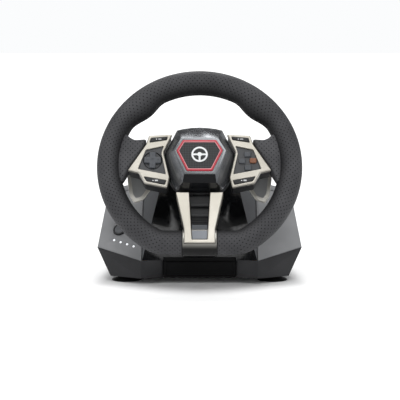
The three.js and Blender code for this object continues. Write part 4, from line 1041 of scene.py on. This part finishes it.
# generic pictogram of a steering wheel: a ring, a hub and three spokes
def wheelPictogram():
    top = badge["plate"]
    rows = np.array([(0.0, top - 0.1), (0.0, top + 0.25), (0.12, top + 0.35), (0.2, top + 0.35)])
    y = 4.0
    shapes = [sheet(circle(11.0, 0, y, 72), rows, [circle(8.6, 0, y, 72)])]
    shapes.append(sheet(circle(3.1, 0, y, 36), rows))
    for x0, x1, low, high in ((-8.9, -2.6, -1.3, 1.1), (2.6, 8.9, -1.3, 1.1), (-1.3, 1.3, -8.9, -2.6)):
        shapes.append(sheet(rounded(rectangle(x0, x1, y + low, y + high), 0.2, 1), rows))
    return joined(*shapes)


makePiece("badge_pictogram", wheelPictogram(), wheel, "white", "wheel")
softened("hub_rear_dish", "hub_back", "black", "wheel", 0.5, 3, 30)
print("hub made")

# paddles: silver blade with a chamfered edge band and a recessed grey field

paddle = {"back": -28.0, "front": -24.0, "axisX": 49.0, "axisZ": -26.0, "boss": 4.0, "bossHalf": 8.6,
          "outline": [(-50, 7.6), (-56, 7.6), (-66, 34), (-77, 46.5), (-86, 44), (-96, 22), (-100, 2),
                      (-99.5, -14), (-96, -36), (-90, -46), (-76.5, -41), (-66, -24), (-56, -7.6),
                      (-50, -7.6)],
          "field": [(-68, 26), (-77, 41), (-83.5, 39), (-92, 20), (-95.5, 2), (-95, -13), (-92, -34),
                    (-87.5, -40.5), (-78.5, -36.5), (-69, -20), (-62, -8), (-62, 8)]}


def paddleBlade():
    outer = rounded(paddle["outline"], 2.5)
    field = rounded(paddle["field"], 2.5)
    top = paddle["front"]
    blade = sheet(outer, edge(paddle["back"], top, 0.9, 0.9, 4), [field],
                  np.array([(0.0, paddle["back"]), (0.0, top - 0.7), (-0.5, top - 0.1), (-0.7, top)]))
    bossLine = bar((-paddle["axisX"], -paddle["bossHalf"], paddle["axisZ"]),
                   (-paddle["axisX"], paddle["bossHalf"], paddle["axisZ"]), paddle["boss"], 36)
    return joined(blade, bossLine)


def paddleField():
    return sheet(rounded(inset(paddle["field"], -0.05), 2.5),
                 edge(paddle["back"] + 0.3, paddle["front"] - 0.6, 0.2, 0.2, 2))


for side, word in pairSides:
    makePiece(word + "_paddle_blade", onSide(paddleBlade(), side), wheel, "silver",
              "paddle_" + word, (word + "_paddle",))
    makePiece(word + "_paddle_field", onSide(paddleField(), side), wheel, "grey", "paddle_" + word)
print("paddles made")

# base: light wing panels, dark shells, near-black column

panel = {"thick": 3.0, "outline": [(0.3, 0.3), (64.2, 30.1), (51, 128), (0.3, 130)], "slitLow": 118.4,
         "slitHigh": 120.0, "modeX": 33.0, "modeY": 54.6, "modeRadius": 8.7, "lampX": 11.8, "lampY": 25.1,
         "lampStepX": 9.5, "lampStepY": 4.5, "lampRadius": 1.6}


# the sheet has a 2 mm sloped border; the slit near its top is a groove cut between two edges
def wingPanel(side):
    outline = rounded(panel["outline"], 1.6)
    slit = rounded(rectangle(3.2, 49.0, panel["slitLow"], panel["slitHigh"]), 0.4, 2)
    holes = [slit]
    if side < 0:
        outline, slit = mirrorX(outline), mirrorX(slit)
        holes = [slit, circle(panel["modeRadius"] + 0.5, -panel["modeX"], panel["modeY"], 56)]
        holes += [circle(panel["lampRadius"] + 0.3, -(panel["lampX"] + i * panel["lampStepX"]),
                         panel["lampY"] + i * panel["lampStepY"], 20) for i in range(4)]
    rows = np.array([(0.4, -panel["thick"]), (0.0, -panel["thick"] + 0.4), (0.0, -0.9), (0.3, -0.35),
                     (1.9, 0.0), (2.3, 0.0)])
    inner = np.array([(0.0, -panel["thick"]), (0.0, -0.35), (0.1, -0.08), (0.3, 0.0)])
    backing = rounded([(0.7, panel["slitLow"] - 1), (51.6, panel["slitLow"] - 1),
                       (51.2, panel["slitHigh"] + 1), (0.7, panel["slitHigh"] + 1)], 0.3, 1)
    backing = sheet(mirrorX(backing) if side < 0 else backing,
                    edge(-panel["thick"] + 0.1, -1.2, 0.1, 0.1, 2, 0.05))
    return joined(sheet(outline, rows, holes, inner), backing)


for side, word in pairSides:
    makePiece(word + "_wing_panel", wingPanel(side), panelFrame(side), "panel", "base",
              (word + "_panel",), 22)

# round button: dark ring and dished cap
modePlace = panelFrame(-1)
ringRows = [(6.9, 0.0), (6.9, 2.0), (7.1, 2.3), (8.1, 2.3), (8.7, 1.7), (8.7, -2.8), (10.1, -3.1),
            (10.1, -5.2), (0, -5.2)]
makePiece("mode_ring", turned(ringRows, 72, -panel["modeX"], panel["modeY"]), modePlace, "black",
          "mode", ("mode_button",))
capRows = [(0, 1.3), (3.0, 1.4), (5.6, 1.75), (6.5, 1.7), (6.7, 1.3), (6.7, -1.0), (0, -1.0)]
makePiece("mode_cap", turned(capRows, 72, -panel["modeX"], panel["modeY"]), modePlace, "cap",
          "mode")

casings = {}
for name, node, finish, slot, width, steps, angle in (
        # piece, CAD node, finish, slot, width and steps of the rounded edges, least angle of an edge
        ("lower_casing", "base_lower_shell", "dark", "dark", 0.7, 3, 25),
        ("upper_casing", "base_upper_shell", "shell", "dark", 0.7, 3, 25),
        ("column_casing", "column_shroud", "gloss", "gloss", 0.9, 3, 28),
        # the front box gets the black with painted shade
        ("front_box", "front_cover", "shadeBlack", "gloss", 0.5, 3, 30),
        ("rear_plate", "rear_cover", "black", "black", 0.4, 2, 30)):
    casings[name] = softened(name, node, finish, "base", width, steps, angle)
column = casings["column_casing"]
# the flanks of the column, which look sideways, are given the lighter grey as a painted reflection on the
# glossy black
column.data.materials.append(finishes["shell"])
across = np.empty(3 * len(column.data.polygons))
column.data.polygons.foreach_get("normal", across)
flank = np.abs(across[::3]) > 0.5
column.data.polygons.foreach_set("material_index", flank.astype(int))
print("grey flank faces of the column:", int(flank.sum()), "of", len(flank))


# suction cup: a flared bell with a thin lip, a ribbed neck and a stud
def suctionCup(x, y):
    profile = [(0, 3.2), (5, 3.15), (9, 2.6), (14, 1.4), (18.5, 0.15), (20.4, 0.0), (21.0, 0.25),
               (20.9, 0.7), (18.6, 1.5), (14.5, 2.9), (11.5, 4.2), (9.2, 4.8), (8.0, 5.1), (7.2, 5.6),
               (6.9, 6.2), (7.2, 6.7), (7.1, 7.5), (3.0, 7.7), (3.0, 11.3), (4.6, 11.4), (4.4, 12.6),
               (3.0, 14.9), (0, 15.0)]
    return turned(profile, 64, x, y)


cups = {"front": (102.5, 35.0), "rear": (88.0, 150.0)}
for end, (x, y) in cups.items():
    for side, word in pairSides:
        makePiece(end + "_" + word + "_suction_cup", suctionCup(side * x, y), base, "rubber",
                  "base", (end + "_" + word + "_cup",))


# screw: a low domed head with a cross cut into it, drawn as four quarters
def screwHead(radius=2.6):
    rows = np.array([(0.0, -0.6), (0.0, 0.35), (0.12, 0.55), (0.2, 0.62)])
    angles = np.linspace(0.22, math.pi / 2 - 0.22, 6)
    quarter = np.vstack([radius * np.column_stack([np.cos(angles), np.sin(angles)]), [(0.36, 0.36)]])
    shapes = [sheet(points, rows) for points in quarterTurns(quarter)]
    shapes.append(sheet(circle(radius + 0.1, sides=24), edge(-0.7, 0.05, 0.1, 0.1, 2, 0.05)))
    return joined(*shapes)


# frames that look out of the underside and the rear, and behind the hub, for screws and vents:
# how high the underside is, how far back the rear plate and how far behind the wheel its dish, in m
underHeight, rearDepth, dishDepth = 0.008, 0.174, 0.034
under = {"origin": base["origin"] + [0, 0, underHeight],
         "axes": np.array([[1, 0, 0], [0, -1, 0], [0, 0, -1]], float)}
rear = {"origin": base["origin"] + [0, rearDepth, 0],
        "axes": np.array([[-1, 0, 0], [0, 0, 1], [0, 1, 0]], float)}
behindHub = {"origin": wheel["origin"] - wheel["axes"][2] * dishDepth,
             "axes": wheel["axes"] * np.array([[-1], [1], [-1]])}
underScrews = [(x, y, 0) for x in (-100, 100) for y in (-70, -110)]
underScrews += [(x, y, 0) for x in (-60, 60) for y in (-40, -150)]
makePiece("underside_screws", repeated(screwHead(), underScrews), under, "steel", "base")
makePiece("rear_screws", repeated(screwHead(2.0), [(x, z, 0) for x in (-41, 41) for z in (18, 39)]), rear,
          "steel", "base")
hubScrews = [(27 * math.cos(a), 27 * math.sin(a), 0) for a in np.radians([45, 135, 225, 315])]
makePiece("hub_rear_screws", repeated(screwHead(2.2), hubScrews), behindHub, "steel", "wheel")

# cooling slots of the underside, drawn as dark raised-edge louvres
louvre = sheet(rounded(rectangle(-14, 14, -1.1, 1.1), 1.0), edge(-0.4, 0.5, 0.4, 0.1, 3, 0.05),
               [rounded(rectangle(-12.6, 12.6, -0.45, 0.45), 0.4, 2)], edge(-0.4, 0.5, 0.04, 0.04, 1, 0.02))
makePiece("underside_louvres", repeated(louvre, [(0, y, 0) for y in np.arange(-118, -70, 6.0)]), under,
          "black", "base")
print("base made")

# pieces that stay as the frame has them, with their own finish
kept = {
    "wheel_frame": "black", "steering_shaft": "steel", "shaft_nut": "steel", "shaft_pinion": "brass",
    "wheel_board": "board", "base_board": "board", "gear_carrier": "grey", "front_bearing": "steel",
    "rear_bearing": "steel", "sensor_gear": "brass", "sensor_pot": "black", "centering_spring": "steel",
    "left_motor": "steel", "right_motor": "steel", "left_weight": "brass", "right_weight": "brass",
    "port_block": "black", "led_light_pipe": "lamp", "left_paddle_pin": "steel", "right_paddle_pin": "steel",
    "dpad_pivot": "black",
}
for node, finish in kept.items():
    nodes[node].data.materials.clear()
    nodes[node].data.materials.append(finishes[finish])
print("kept pieces painted:", len(kept))
